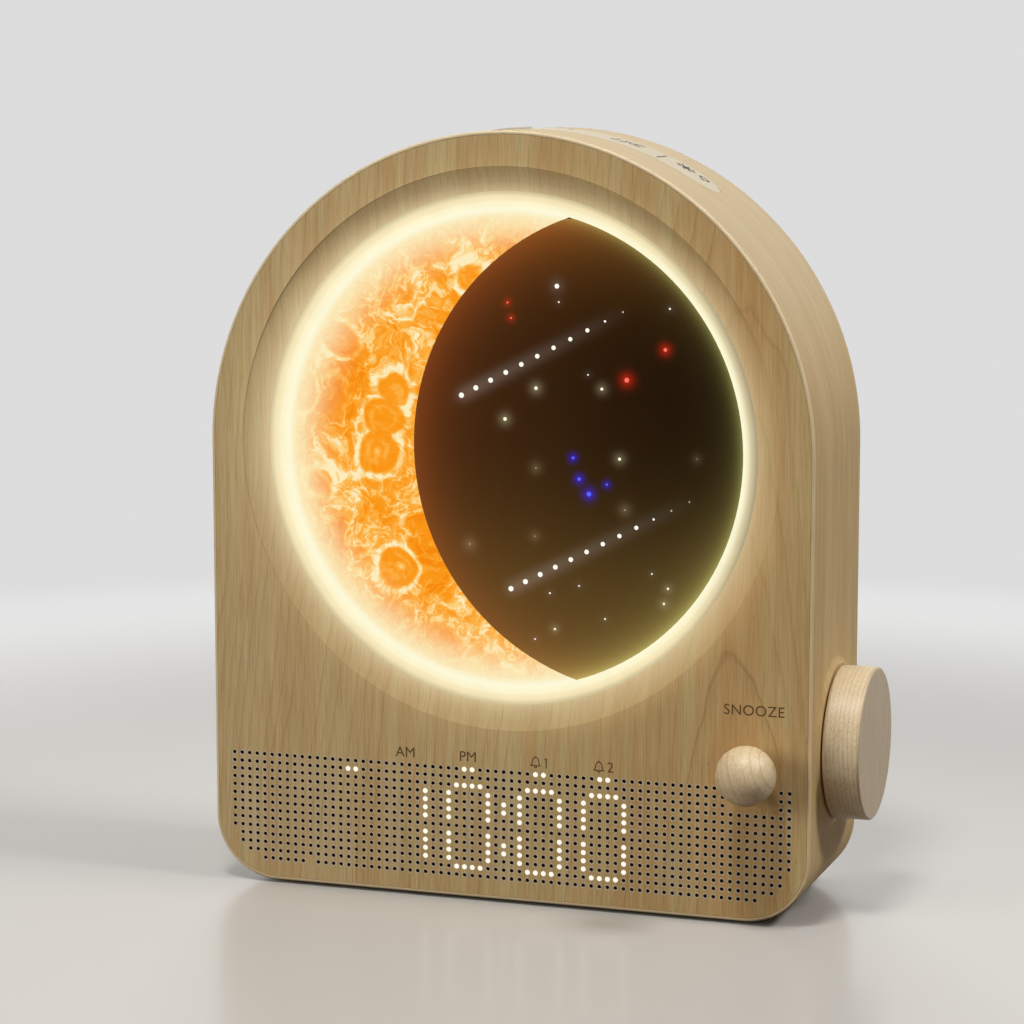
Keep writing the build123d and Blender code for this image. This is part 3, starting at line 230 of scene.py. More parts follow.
def face_wood(name, contrast, soften=0.0):
    """The front's wood, lit up near the ring. soften turns the shading of a slope towards the face."""
    s = Shader(name)
    x, y, z = s.split()
    # painted light: the wood is paler towards the left, as if lit more from that side
    pale = s.ease(x, -95.0, 20.0, 0.1, 0.0)
    colour, height = wood_colour(s, s.add(x, -HEART_X), z, s.mul(y, 0.1), tone=pale, warp=22.0,
                                 contrast=contrast, heart=0.4)
    normal = s.bump(height, 0.05, 0.5)
    if soften:
        lean = s.vector("ADD", s.scale(normal, (1 - soften,) * 3), (0, -soften, 0))
        normal = s.vector("NORMALIZE", lean)
    dz = s.add(z, -ARCH_Z)
    r = s.hypot(x, dz)
    out = s.add(r, -RING_R)
    # painted light: the ring's glow spilt on the wood, a little stronger on the left
    light = s.add(s.mul(s.fade(out, 2.6), 0.08), s.mul(s.fade(out, 6.8), 0.2))
    side = s.ease(x, -70.0, 70.0, 1.12, 0.85)
    # painted highlight of the lamp on the wood near the ring, towards the lower right
    lower_right = s.mul(s.add(x, s.mul(dz, -1.0)), 0.707)
    painted_highlight = s.ease(lower_right, 60.0, 84.0, 0.0, 0.085)
    painted_highlight = s.mul(painted_highlight, s.ease(r, RING_R + 13.0, RING_R + 3.0))
    glow = s.mix(s.ease(r, RING_R, RING_R + 12.0), rgb(255, 240, 196), rgb(240, 200, 130))
    return s.surface(colour, s.ease(height, -0.4, 0.6, 0.62, 0.46), normal, Specular_IOR_Level=0.35,
                     Emission_Color=glow, Emission_Strength=s.add(s.mul(light, side), painted_highlight))


HOOP_R = 92.0                # middle of the casing's wall


def hoop_wood():
    """The casing: straight grain along the hoop, so its lines follow the arch and the straight sides."""
    s = Shader("casing_wood")
    x, y, z = s.split()
    dz = s.add(z, -ARCH_Z)
    angle = s.math("ARCTAN2", x, s.math("MAXIMUM", dz, 0.001))
    down = s.mul(s.math("MINIMUM", dz, 0.0), s.math("SIGN", s.mul(x, -1.0)))
    along = s.add(s.mul(angle, HOOP_R), down)
    radial = s.hypot(x, s.math("MAXIMUM", dz, 0.0))
    # painted highlight: the top of the arch is paler and greyer, as where the light from above falls
    top = s.ease(s.absolute(along), 70.0, 150.0, 1.0, 0.0)
    colour, height = wood_colour(s, s.add(y, 60.0), along, s.mul(radial, 0.1), seed=31.0,
                                 tone=s.ease(top, 0.0, 1.0, 0.05, 0.18), spacing=2.3, taper=0.015,
                                 warp=9.0, contrast=0.7)
    colour = s.mix(s.mul(top, 0.5), colour, rgb(182, 170, 148))
    # painted highlight: a pale line along the casing's front edge
    colour = s.mix(s.ease(y, FRONT + 1.1, FRONT + 0.3, 0.0, 0.6), colour, rgb(244, 224, 184))
    return s.surface(colour, 0.58, s.bump(height, 0.05, 0.5), Specular_IOR_Level=0.18)


def turned_wood(name, centre, seed, turn, tone, spacing, contrast, end=None):
    """Small turned pieces: growth layers stand upright, tilted by turn degrees in the XZ plane. Beyond
    X = end the wood is a little browner, painted shade on the end face."""
    s = Shader(name)
    x, y, z = s.split()
    dx, dz = s.add(x, -centre[0]), s.add(z, -centre[1])
    c, n = cos(radians(turn)), sin(radians(turn))
    across = s.add(s.add(s.mul(dx, c), s.mul(dz, n)), 60.0)
    along = s.add(s.mul(dz, c), s.mul(dx, -n))
    colour, height = wood_colour(s, across, along, y, seed=seed, tone=tone, spacing=spacing, taper=0.02,
                                 warp=6.0, contrast=contrast)
    if end:
        # painted shade: the end face is darker
        colour = s.mix(s.ease(x, end - 0.9, end, 0.0, 0.42), colour, rgb(136, 108, 70))
    return s.surface(colour, 0.42, s.bump(height, 0.05, 0.5), Specular_IOR_Level=0.6)


def plastic(name, colour, other, rough=0.42, grain=0.015, scale=1.6, **more):
    """Moulded plastic with a fine spark-eroded texture and slight tone changes."""
    s = Shader(name)
    fine = s.noise(s.place, scale=scale, detail=3)
    broad = s.noise(s.place, scale=0.05, detail=2, seed=4.0)
    return s.surface(s.mix(broad, colour, other), s.ease(fine, 0.3, 0.7, rough - 0.06, rough + 0.08),
                     s.bump(fine, grain, 0.6), **more)


def metal(name, colour, rough, brushed=(0.2, 6.0, 6.0)):
    s = Shader(name)
    lines = s.noise(s.scale(s.place, brushed), detail=4, rough=0.7)
    tint = s.mix(s.mul(lines, 0.4), colour, rgb(90, 90, 92))
    return s.surface(tint, s.ease(lines, 0.3, 0.7, rough - 0.08, rough + 0.1),
                     s.bump(lines, 0.01, 0.4), Metallic=1.0)


def board_green():
    s = Shader("circuit_board")
    wires = s.cells(s.scale(s.place, (0.35,) * 3), feature="DISTANCE_TO_EDGE",
                    randomness=0.6).outputs["Distance"]
    track = s.ease(wires, 0.05, 0.09, 1.0, 0.0)
    colour = s.mix(track, rgb(22, 92, 48), rgb(52, 132, 74))
    speck = s.ease(s.cells(s.place, scale=0.5).outputs["Distance"], 0.10, 0.16, 1.0, 0.0)
    colour = s.mix(speck, colour, rgb(196, 168, 92))
    return s.surface(colour, 0.38, s.bump(track, 0.03, 0.6), Specular_IOR_Level=0.5)


def cloth():
    s = Shader("grille_cloth")
    x, _, z = s.split()
    weave = s.mul(s.math("SINE", s.mul(x, 12.0)), s.math("SINE", s.mul(z, 12.0)))
    return s.surface(s.mix(s.ease(weave, -1.0, 1.0), rgb(20, 18, 17), rgb(48, 44, 42)), 0.9,
                     s.bump(weave, 0.1, 0.7))


def emitter(name, colour, strength, dark=(0, 0, 0, 1)):
    s = Shader(name)
    grain = s.noise(s.place, scale=0.8, detail=2)
    return s.surface(dark, 0.6, Emission_Color=colour,
                     Emission_Strength=s.ease(grain, 0.0, 1.0, strength * 0.97, strength * 1.03))


def ring_glow():
    """The milky ring: brightest at the disc, creamier outwards, a little dimmer on the outer right."""
    s = Shader("glow_ring")
    x, _, z = s.split()
    dz = s.add(z, -ARCH_Z)
    across = s.mul(s.add(s.hypot(x, dz), -DISC_R), 1 / (RING_R - DISC_R))
    colour = s.ramp(across, [(0.0, rgb(255, 250, 216)), (0.3, rgb(254, 246, 207)),
                             (0.62, rgb(248, 231, 186)), (1.0, rgb(210, 195, 154))])
    mist = s.noise(s.place, scale=0.12, detail=2)
    right = s.add(s.mul(x, 0.98), s.mul(dz, 0.1))
    dim = s.mul(s.ease(right, 42.0, 78.0), s.ease(across, 0.1, 0.75, 0.0, 0.38))
    strength = s.mul(s.ease(mist, 0.3, 0.7, 0.97, 1.01), s.add(1.0, s.mul(dim, -1.0)))
    return s.surface(rgb(8, 8, 8), 0.5, Emission_Color=colour, Emission_Strength=strength,
                     Specular_IOR_Level=0.0)


def sun_print():
    """A glowing print: granules, flowing filaments and a few round cells, fading to cream outwards."""
    s = Shader("sun_print")
    x, _, z = s.split()
    dz = s.add(z, -ARCH_Z)
    r = s.hypot(x, dz)
    flat = s.join(x, 0.0, dz)
    warp = s.node("ShaderNodeTexNoise", {"Vector": flat, "Scale": 0.06, "Detail": 3.0}).outputs[1]
    warp = s.vector("SUBTRACT", warp, (0.5, 0.5, 0.5))
    moved = s.vector("ADD", flat, s.scale(warp, (26.0,) * 3))
    broad = s.noise(moved, scale=0.045, detail=2, seed=2.0)
    flow = s.noise(moved, scale=0.085, detail=6, rough=0.58, distortion=0.9, seed=3.0)
    fine = s.noise(moved, scale=0.5, detail=5, rough=0.62, distortion=0.9, seed=5.0)
    veins = s.noise(moved, scale=0.1, detail=4, rough=0.55, distortion=0.7, seed=8.0)
    veins = s.absolute(s.add(veins, -0.5))
    spot = s.cells(s.vector("ADD", flat, s.scale(warp, (9.0,) * 3)), scale=0.043,
                   randomness=0.9).outputs["Distance"]
    level = s.add(s.mul(s.add(flow, -0.5), 1.9), s.mul(s.add(fine, -0.5), 0.75))
    level = s.add(s.add(level, s.mul(s.add(broad, -0.5), 0.5)), 0.42)
    level = s.add(level, s.ease(veins, 0.06, 0.0, 0.0, 0.28))
    # round cells: a calm disc, a pale rim, a faint ring inside and a pale middle
    disc = s.ease(spot, 0.34, 0.27)
    level = s.add(s.mul(level, s.add(1.0, s.mul(disc, -0.6))), s.mul(disc, 0.12))
    level = s.add(level, s.mul(s.mul(s.ease(spot, 0.26, 0.31), s.ease(spot, 0.40, 0.32)), 0.3))
    level = s.add(level, s.mul(s.ease(s.absolute(s.add(spot, -0.17)), 0.07, 0.0), 0.12))
    level = s.add(level, s.mul(s.ease(spot, 0.11, 0.02), 0.3))
    colour = s.ramp(level, [(0.10, rgb(248, 138, 12)), (0.34, rgb(253, 154, 26)),
                            (0.54, rgb(254, 176, 64)), (0.72, rgb(254, 208, 124)),
                            (0.92, rgb(255, 238, 190))])
    cream = s.add(s.ease(r, 50.0, DISC_R + 0.3), s.mul(s.add(fine, -0.5), 0.35))
    cream = s.math("MULTIPLY", cream, cream, clamp=True)
    colour = s.mix(cream, colour, rgb(254, 238, 190))
    colour = s.mix(s.ease(r, DISC_R - 2.7, DISC_R), colour, rgb(255, 250, 218))
    return s.surface(rgb(8, 5, 2), 0.5, Emission_Color=colour, Emission_Strength=0.98,
                     Specular_IOR_Level=0.0)


def night_plastic():
    s = Shader("night_panel")
    haze = s.noise(s.place, scale=0.03, detail=2)
    fine = s.noise(s.place, scale=1.2, detail=2, seed=3.0)
    return s.surface(s.mix(haze, rgb(24, 13, 4), rgb(32, 18, 7)), s.ease(fine, 0.3, 0.7, 0.5, 0.56),
                     Specular_IOR_Level=0.1)


# a flat mottled colour, used for print and for painted highlight and shade
def print_and_painted_light(name, dark, light):
    s = Shader(name)
    fine = s.noise(s.place, scale=2.0, detail=2)
    return s.surface(s.mix(fine, rgb(*dark), rgb(*light)), 0.6, s.bump(fine, 0.02))


def cone_paper():
    s = Shader("cone_paper")
    pulp = s.noise(s.place, scale=2.2, detail=5, rough=0.7)
    return s.surface(s.mix(pulp, rgb(24, 24, 25), rgb(52, 51, 50)), 0.85, s.bump(pulp, 0.06, 0.6))


MATERIALS = {
    "casing": hoop_wood(),
    "face": face_wood("face_wood", 0.82),
    "bezel": face_wood("bezel_wood", 0.6, soften=0.7),
    "ball": turned_wood("ball_wood", (BALL_X, BALL_Z), seed=41.0, turn=18.0, tone=0.46, spacing=1.9,
                        contrast=1.0),
    "knob": turned_wood("knob_wood", (KNOB_X, KNOB_Z), seed=53.0, turn=0.0, tone=0.6, spacing=1.25,
                        contrast=1.2, end=KNOB_END),
    "ring": ring_glow(),
    "sun": sun_print(),
    "night": night_plastic(),
    "white": plastic("white_plastic", rgb(228, 227, 222), rgb(214, 213, 208)),
    "strip": plastic("touch_strip", rgb(206, 195, 173), rgb(198, 186, 163), rough=0.5,
                     Specular_IOR_Level=0.2),
    "key": plastic("top_key", rgb(214, 204, 184), rgb(206, 195, 174), rough=0.5,
                   Specular_IOR_Level=0.2),
    "black": plastic("black_plastic", rgb(26, 25, 25), rgb(38, 37, 36), rough=0.5),
    "rubber": plastic("rubber", rgb(34, 33, 32), rgb(48, 46, 44), rough=0.8, grain=0.05, scale=2.4),
    "board": board_green(),
    "led": emitter("led", rgb(255, 236, 190), 0.9, rgb(230, 220, 190)),
    "steel": metal("steel", rgb(198, 199, 202), 0.3),
    "spring": metal("spring_steel", rgb(172, 174, 178), 0.26, (3.0, 3.0, 3.0)),
    "brass": metal("brass", rgb(206, 172, 102), 0.3),
    "magnet": metal("magnet_steel", rgb(120, 121, 124), 0.42),
    "cone": cone_paper(),
    "cloth": cloth(),
    "cord": plastic("cord_jacket", rgb(226, 224, 219), rgb(214, 212, 206), rough=0.4, grain=0.01),
    "ink": print_and_painted_light("print_and_painted_light", (70, 46, 24), (98, 68, 38)),
    "strip_ink": print_and_painted_light("strip_ink", (44, 38, 34), (62, 54, 48)),
    # painted highlight round the holes' edges
    "rim": print_and_painted_light("hole_rim_painted_highlight", (206, 192, 166), (224, 210, 186)),
    # painted shade in the holes and in the screws' cross recesses
    "hole": print_and_painted_light("painted_recess_shade", (20, 10, 8), (30, 16, 12)),
    "lit": emitter("lit_dot", rgb(255, 252, 236), 1.0),
}

# which nodes get which material
FINISH = {
    "casing": "body_casing screw_blocks", "face": "front_panel", "bezel": "dish_bezel",
    "ring": "glow_ring", "sun": "sun_disc", "night": "night_panel",
    "white": "light_box rear_cover speaker_frame encoder_plunger usb_c_plug usb_a_plug snooze_bush",
    "board": "ring_led_board sun_led_board star_led_board display_board main_board touch_board "
             "switch_boards",
    "led": "ring_leds sun_leds star_leds display_leds",
    "black": "star_mask display_mask snooze_bracket key_bracket board_components coin_cell_holder "
             "push_switches speaker_box encoder_body knob_insert",
    "cloth": "grille_cloth", "rubber": "foot_pad speaker_gasket", "cone": "speaker_cone",
    "magnet": "speaker_magnet", "brass": "encoder_bush encoder_nut",
    "steel": "light_box_screws cover_screws knob_shaft snooze_stem coin_cell usb_socket usb_c_shell "
             "usb_a_shell",
    "spring": "snooze_spring", "knob": "side_knob", "ball": "snooze_ball", "strip": "touch_strip",
    "key": "top_key", "cord": "cable_tie",
}


for finish, names in FINISH.items():
    for node in names.split():
        mesh = NODES[node].data
        mesh.materials.clear()
        mesh.materials.append(MATERIALS[finish])


# ------------------------------------------------------------------ small tools for geometry
def mesh_of(name, points, faces):
    """A mesh from points in mm."""
    mesh = bpy.data.meshes.new(name)
    mesh.from_pydata([Vector(p) * MM for p in points], [], faces)
    mesh.update()
    return mesh


def place_in_scene(name, data):
    obj = bpy.data.objects.new(name, data)
    bpy.context.scene.collection.objects.link(obj)
    return obj


def piece(name, mesh, material, body="clock", smooth=False):
    """Puts a mesh on the clock as a piece of its own."""
    obj = place_in_scene(name, mesh)
    mesh.materials.append(material)
    if smooth:
        mesh.shade_smooth()
    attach(obj, body)


def sheet(name, points, faces, finish, slot=None, smooth=False):
    piece(name, mesh_of(name, points, faces), MATERIALS[finish], smooth=smooth)


# ------------------------------------------------------------------ the cord
CORD_D = 3.5
EXIT_Y = 59.1
COIL_X, COIL_Y = -74.0, 66.0
COIL_TURNS = 3.75            # in each of the two layers: inwards in the lower one, outwards in the upper
COIL_INNER_R, LOWER_R, UPPER_R = 12.2, 25.2, 25.1
LOWER_Z, UPPER_Z = 2.3, 5.8
CLIMB = 5                    # points over which the cord climbs from layer to layer
CURVE_INSIDE = 0.98          # such a curve runs this much inside the points of a circle
cable_route = [(0, EXIT_Y, 18), (0, 71.1, 18), (-4.5, 83, 12.5), (-15, 90.5, 6), (-29, 94.6, 2.4),
               (-48.5, 94.3, 1.8), (-67.5, 91.9, 2.0)]
tail_route = [(-58.5, 41.8, 4.1), (-49.5, 41.8, 4.1)]


def coil_points(start, from_r, to_r, z):
    """One layer of the coil from the angle start, 16 points a turn."""
    steps = round(16 * COIL_TURNS)
    for k in range(1, steps + 1):
        t = k / steps
        a = start + 2 * pi * COIL_TURNS * t
        r = (from_r + (to_r - from_r) * t) / CURVE_INSIDE
        yield COIL_X + r * cos(a), COIL_Y + r * sin(a), z


lower = list(coil_points(pi / 2, LOWER_R, COIL_INNER_R, LOWER_Z))
upper = list(coil_points(pi / 2 + 2 * pi * COIL_TURNS, COIL_INNER_R, UPPER_R, UPPER_Z))
for k in range(CLIMB):
    x, y, _ = lower[-1 - k]
    lower[-1 - k] = (x, y, LOWER_Z + (UPPER_Z - LOWER_Z) * (1 - (k + 1) / (CLIMB + 1)))
route = cable_route + lower[1:] + upper[:-2] + tail_route
curve = bpy.data.curves.new("usb_lead", "CURVE")
curve.dimensions = "3D"
line = curve.splines.new("NURBS")
line.points.add(len(route) - 1)
for point, at in zip(line.points, route):
    point.co = (*(Vector(at) * MM), 1.0)
line.order_u = 3
line.use_endpoint_u = True
line.resolution_u = 6
curve.bevel_depth = CORD_D / 2 * MM
curve.bevel_resolution = 4
curve.use_fill_caps = True
curve.materials.append(MATERIALS["cord"])
lead = place_in_scene("usb_lead", curve)
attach(lead, "clock")
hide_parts("usb_cable", "cable_coil", "cable_tail")


# ------------------------------------------------------------------ dot grid
# The grid is as in the part's source: the face's holes without those at the case's edge and by the ball.
HOLE_PITCH, HOLE_COLUMNS, HOLE_ROWS, FIRST_ROW = 2.54, 71, 14, 40.76
PLAIN_SPOT = (10, 13)                  # one column and row without a hole
CORNER, FOOT, MARGIN = 20.0, 1.0, 5.8  # the case's lower corners, its foot, and the grid's plain edge
BALL_CLEAR, BALL_DROP = 7.8, 13.0      # no holes within this of the ball, sideways and downwards

# The lit display, in columns and rows from the upper left: digits, a colon, and marks at the signs.
DIGIT_TOP, DIGIT_BOTTOM, DIGIT_WIDTH = 2, 12, 5
DIGIT_SIDE = (3, 4, 5, 6, 8, 9, 10, 11)
DIGITS, ONE, COLON = (28, 37, 45), 25, 35
LIT = {(30, 0), (31, 0), (39, 0), (40, 0), (47, 0), (48, 0), (15, 1), (16, 1)}
LIT |= {(COLON, row) for row in (4, 5, 9, 10)} | {(ONE, row) for row in DIGIT_SIDE}
for left in DIGITS:
    LIT |= {(left + k, row) for k in range(1, DIGIT_WIDTH) for row in (DIGIT_TOP, DIGIT_BOTTOM)}
    LIT |= {(left + side, row) for side in (0, DIGIT_WIDTH) for row in DIGIT_SIDE}


def hole_fits(x, z):
    if abs(x) > ARCH_R - MARGIN or z < FOOT + MARGIN:
        return False
    cx, cz = ARCH_R - CORNER, FOOT + CORNER
    if abs(x) > cx and z < cz and hypot(abs(x) - cx, z - cz) > CORNER - MARGIN:
        return False
    return not (abs(x - BALL_X) < BALL_CLEAR and z > BALL_Z - BALL_DROP)


def holes(lit):
    """The places (x, z) of the lit holes, or of the others."""
    for column in range(HOLE_COLUMNS):
        for row in range(HOLE_ROWS):
            x, z = (column - (HOLE_COLUMNS - 1) / 2) * HOLE_PITCH, FIRST_ROW - row * HOLE_PITCH
            if (column, row) != PLAIN_SPOT and hole_fits(x, z) and ((column, row) in LIT) == lit:
                yield x, z


CLOSED_R = 0.3               # a last ring smaller than this is closed with a face


def turned(places, profile, segments=16):
    """Points and faces of small turned shapes at (x, z). profile: (radius, depth behind the face)."""
    points, faces = [], []
    for x, z in places:
        base = len(points)
        for radius, y in profile:
            for k in range(segments):
                a = 2 * pi * k / segments
                points.append((x + radius * cos(a), FRONT + y, z + radius * sin(a)))
        for ring in range(len(profile) - 1):
            for k in range(segments):
                a, b = base + ring * segments + k, base + ring * segments + (k + 1) % segments
                faces.append((a, b, b + segments, a + segments))
        if profile[-1][0] < CLOSED_R:
            faces.append(tuple(range(len(points) - segments, len(points))))
    return points, faces


RIM = [(0.84, -0.01), (0.78, -0.035), (0.63, -0.03), (0.59, 0.12)]
SHADE_LINER = [(0.592, 0.1), (0.59, 1.4), (0.1, 1.5)]
LIT_DOT = [(0.78, -0.01), (0.7, -0.07), (0.4, -0.12), (0.1, -0.14)]
# painted highlight: a pale ring round each hole's edge
sheet("hole_rim_highlights", *turned(holes(False), RIM), "rim", "face_wood", smooth=True)
# painted shade: dark liners, closed near the bottom, stand for the shade inside the holes
sheet("hole_shade_liners", *turned(holes(False), SHADE_LINER, 12), "hole", "black_plastic")
sheet("lit_dots", *turned(holes(True), LIT_DOT), "lit", "led", smooth=True)


# ------------------------------------------------------------------ words and symbols
CAPITAL = 0.72               # a capital's height at font size 1


def words(name, text, x, z, height, spacing=1.0):
    """Thin sans lettering printed on the face, centred on (x, z), height in mm for a capital."""
    curve = bpy.data.curves.new(name, "FONT")
    curve.body = text
    curve.size = height / CAPITAL * MM
    curve.align_x, curve.align_y = "CENTER", "CENTER"
    curve.space_character = spacing
    flat = place_in_scene(name + "_line", curve)
    bpy.context.view_layer.update()
    mesh = bpy.data.meshes.new_from_object(flat.evaluated_get(bpy.context.evaluated_depsgraph_get()))
    bpy.data.objects.remove(flat)
    upright = Matrix.Rotation(pi / 2, 4, "X")
    mesh.transform(Matrix.Translation(Vector((x, INK_Y, z)) * MM) @ upright)
    mesh.name = name
    mesh.materials.clear()
    piece(name, mesh, MATERIALS["ink"])


def ribbons(lines, width):
    """Points and quads of thin strokes, each along a list of (x, z) points."""
    points, faces = [], []
    for line in lines:
        base = len(points)
        for k, (x, z) in enumerate(line):
            ax, az = line[max(k - 1, 0)]
            bx, bz = line[min(k + 1, len(line) - 1)]
            length = hypot(bx - ax, bz - az) or 1.0
            nx, nz = -(bz - az) / length * width / 2, (bx - ax) / length * width / 2
            points += [(x + nx, z + nz), (x - nx, z - nz)]
        faces += [(i, i + 1, i + 3, i + 2) for i in range(base, len(points) - 2, 2)]
    return points, faces


def strokes_on_face(name, lines, width, x, z, size=1.0):
    """A sign of strokes about (x, z). lines and width are in units of size."""
    flat, faces = ribbons(lines, width)
    sheet(name, [(x + size * px, INK_Y, z + size * pz) for px, pz in flat], faces, "ink")


BELL = [[(-1.0, -0.72), (-0.72, -0.42), (-0.62, 0.2), (-0.46, 0.62), (-0.2, 0.86), (0.0, 0.92),
         (0.2, 0.86), (0.46, 0.62), (0.62, 0.2), (0.72, -0.42), (1.0, -0.72), (-1.0, -0.72)],
        [(-0.3, -0.86), (-0.15, -1.02), (0.0, -1.06), (0.15, -1.02), (0.3, -0.86)],
        [(0.0, 0.92), (0.0, 1.12)]]


words("word_am", "AM", -31.8, 44.6, 3.25)
words("word_pm", "PM", -11.5, 44.6, 3.25)
words("word_snooze", "SNOOZE", 77.9, 64.8, 3.2, spacing=1.06)
words("word_two", "2", 33.8, 44.5, 3.2)
strokes_on_face("bell_one", BELL, 0.2, 10.2, 44.7, 1.6)
strokes_on_face("bell_two", BELL, 0.2, 30.2, 44.7, 1.6)
strokes_on_face("word_one", [[(-0.62, 0.95), (0.0, 1.55), (0.0, -1.6)]], 0.34, 13.6, 44.5)


# ------------------------------------------------------------------ night sky
# STARS: x and z from the dial's centre, size, and kind (white, red, greenish, blue, dim or faint).
# METEORS: x and z of the start and of the end, the number of lights, and how many of them are faint.
# HALO: each kind's glow on the panel and how far it spreads in mm. CORE: each kind's own colour.
STARS = [(14.7, 49.4, 0.8, "w"), (15.3, 44.7, 0.3, "w"), (-0.8, 44.2, 0.42, "r"), (0.3, 39.6, 0.42, "r"),
         (48.3, 31.4, 0.75, "r"), (36.5, 22.1, 1.0, "r"), (49.6, 43.5, 0.34, "w"), (24.5, 23.3, 0.28, "w"),
         (28.8, 19.2, 0.5, "g"), (8.2, 18.8, 0.62, "g"), (-1.6, 9.2, 0.62, "g"), (34.4, -1.5, 0.52, "g"),
         (8.2, -5.2, 0.5, "d"), (58.2, -0.5, 0.3, "d"), (36.1, -16.7, 0.55, "d"), (-12.9, -29.3, 0.6, "d"),
         (7.9, -25.9, 0.42, "d"), (19.9, -1.7, 0.62, "b"), (21.8, -8.0, 0.72, "b"), (24.9, -12.4, 1.0, "b"),
         (30.5, -9.3, 0.5, "b"), (44.6, -35.5, 0.3, "w"), (49.6, -39.7, 0.4, "g"), (48.4, -44.3, 0.42, "g"),
         (21.9, -40.3, 0.3, "w"), (12.7, -43.0, 0.32, "w"), (30.1, -49.9, 0.32, "w"),
         (14.3, -53.9, 0.4, "g"), (8.0, -57.3, 0.3, "w")]
METEORS = [((-15.5, 15.9), (35.2, 42.2), 11, 2), ((0.3, -42.3), (56.0, -13.4), 12, 3)]
METEOR_CROWD = 0.9           # the lights stand closer together at the bright end
HALO = {"w": ((0.05, 0.045, 0.04), 1.5), "r": ((0.42, 0.01, 0.005), 1.2), "g": ((0.17, 0.15, 0.085), 1.5),
        "b": ((0.008, 0.004, 0.52), 0.95), "d": ((0.10, 0.08, 0.042), 1.7)}
CORE = {"w": rgb(255, 250, 240), "r": rgb(255, 112, 90), "g": rgb(255, 248, 218), "b": rgb(84, 92, 255),
        "d": rgb(160, 138, 98), "f": rgb(176, 164, 140)}
night_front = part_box("night_panel")[0].y / MM


def night_sky():
    """The dark panel's own light on a close mesh: edge glow, haze along the meteors, star halos."""
    rows, across = 290, 210
    u, v = np.meshgrid(np.linspace(0, 1, across + 1), np.linspace(0, 1, rows + 1))
    # the panel is where the disc and the night's circle overlap; reach is the height of the two tips
    apart = hypot(NIGHT_X, NIGHT_DZ)
    tip = np.arccos((apart ** 2 + DISC_R ** 2 - NIGHT_R ** 2) / (2 * DISC_R * apart))
    reach = DISC_R * np.sin(tip)
    z = -reach + 0.02 + (2 * reach - 0.04) * v
    left = NIGHT_X - np.sqrt(NIGHT_R ** 2 - (z - NIGHT_DZ) ** 2)
    right = np.sqrt(DISC_R ** 2 - z ** 2)
    left, right = left + 0.08, np.maximum(right - 0.08, left + 0.1)
    x = left + (right - left) * u
    colour = np.zeros(x.shape + (3,))
    to_sun = np.hypot(x - NIGHT_X, z - NIGHT_DZ)
    sun_side = np.exp(-(NIGHT_R - to_sun) / 7.5)
    ring_side = np.exp(-(DISC_R - np.hypot(x, z)) / 6.0)
    high, low = 1 / (1 + np.exp(-(z - 34) / 10)), 1 / (1 + np.exp((z + 30) / 12))
    sunward = 1 / (1 + np.exp((x - 18) / 16))

    def put(weight, shade):
        colour[...] += weight[..., None] * np.array(rgb(*shade)[:3])

    put(np.ones_like(x), (22, 10, 1))
    put(sunward * 0.75, (64, 36, 12))
    put(sun_side * (1 - 0.4 * low), (112, 50, 18))
    put(high * np.exp(-(72 - z) / 15) * 0.7, (112, 72, 20))
    put(ring_side * (0.12 + 0.88 * low), (128, 119, 66))
    put(ring_side ** 4 * 0.5, (150, 152, 84))
    put(low * 0.95, (84, 66, 30))
    for (ax, az), (bx, bz), _, _ in METEORS:
        length = hypot(bx - ax, bz - az)
        dx, dz = (bx - ax) / length, (bz - az) / length
        t = (x - ax) * dx + (z - az) * dz
        side = (x - ax) * -dz + (z - az) * dx
        fade = np.clip(1.05 - t / length, 0, 1) / (1 + np.exp(-(t + 1.2) / 0.9))
        put(np.exp(-(side / 2.3) ** 2) * fade * 0.55, (104, 96, 88))
    for sx, sz, size, kind in STARS:
        shade, spread = HALO[kind]
        d = np.hypot(x - sx, z - sz)
        weight = np.exp(-(d / (spread * (0.55 + size))) ** 1.6) * min(1, size * 1.4)
        colour += weight[..., None] * np.array(shade)
    points = np.stack([x, np.full_like(x, night_front - 0.04), z + ARCH_Z], axis=-1).reshape(-1, 3)
    wide = across + 1
    faces = [(r * wide + c, r * wide + c + 1, (r + 1) * wide + c + 1, (r + 1) * wide + c)
             for r in range(rows) for c in range(across)]
    mesh = mesh_of("night_sky", points, faces)
    layer = mesh.color_attributes.new("sky", "FLOAT_COLOR", "POINT")
    rgba = np.ones((points.shape[0], 4), np.float32)
    rgba[:, :3] = np.minimum(colour, 1.0).reshape(-1, 3)
    layer.data.foreach_set("color", rgba.ravel())
    s = Shader("night_glow")
    fine = s.noise(s.place, scale=1.5, detail=2)
    sky = s.node("ShaderNodeAttribute", attribute_name="sky").outputs["Color"]
    material = s.surface(rgb(4, 3, 2), s.ease(fine, 0.3, 0.7, 0.5, 0.54), Emission_Color=sky,
                         Emission_Strength=0.96, Specular_IOR_Level=0.03)
    piece("night_sky", mesh, material)


def circle(x, y, z, radius, steps):
    """Points of an upright circle about (x, y, z) that faces the front."""
    return [(x + radius * cos(2 * pi * k / steps), y, z + radius * sin(2 * pi * k / steps))
            for k in range(steps)]


def quads_between(base, steps):
    """Quads between two circles whose points follow each other from base on."""
    return [(base + k, base + (k + 1) % steps, base + steps + (k + 1) % steps, base + steps + k)
            for k in range(steps)]


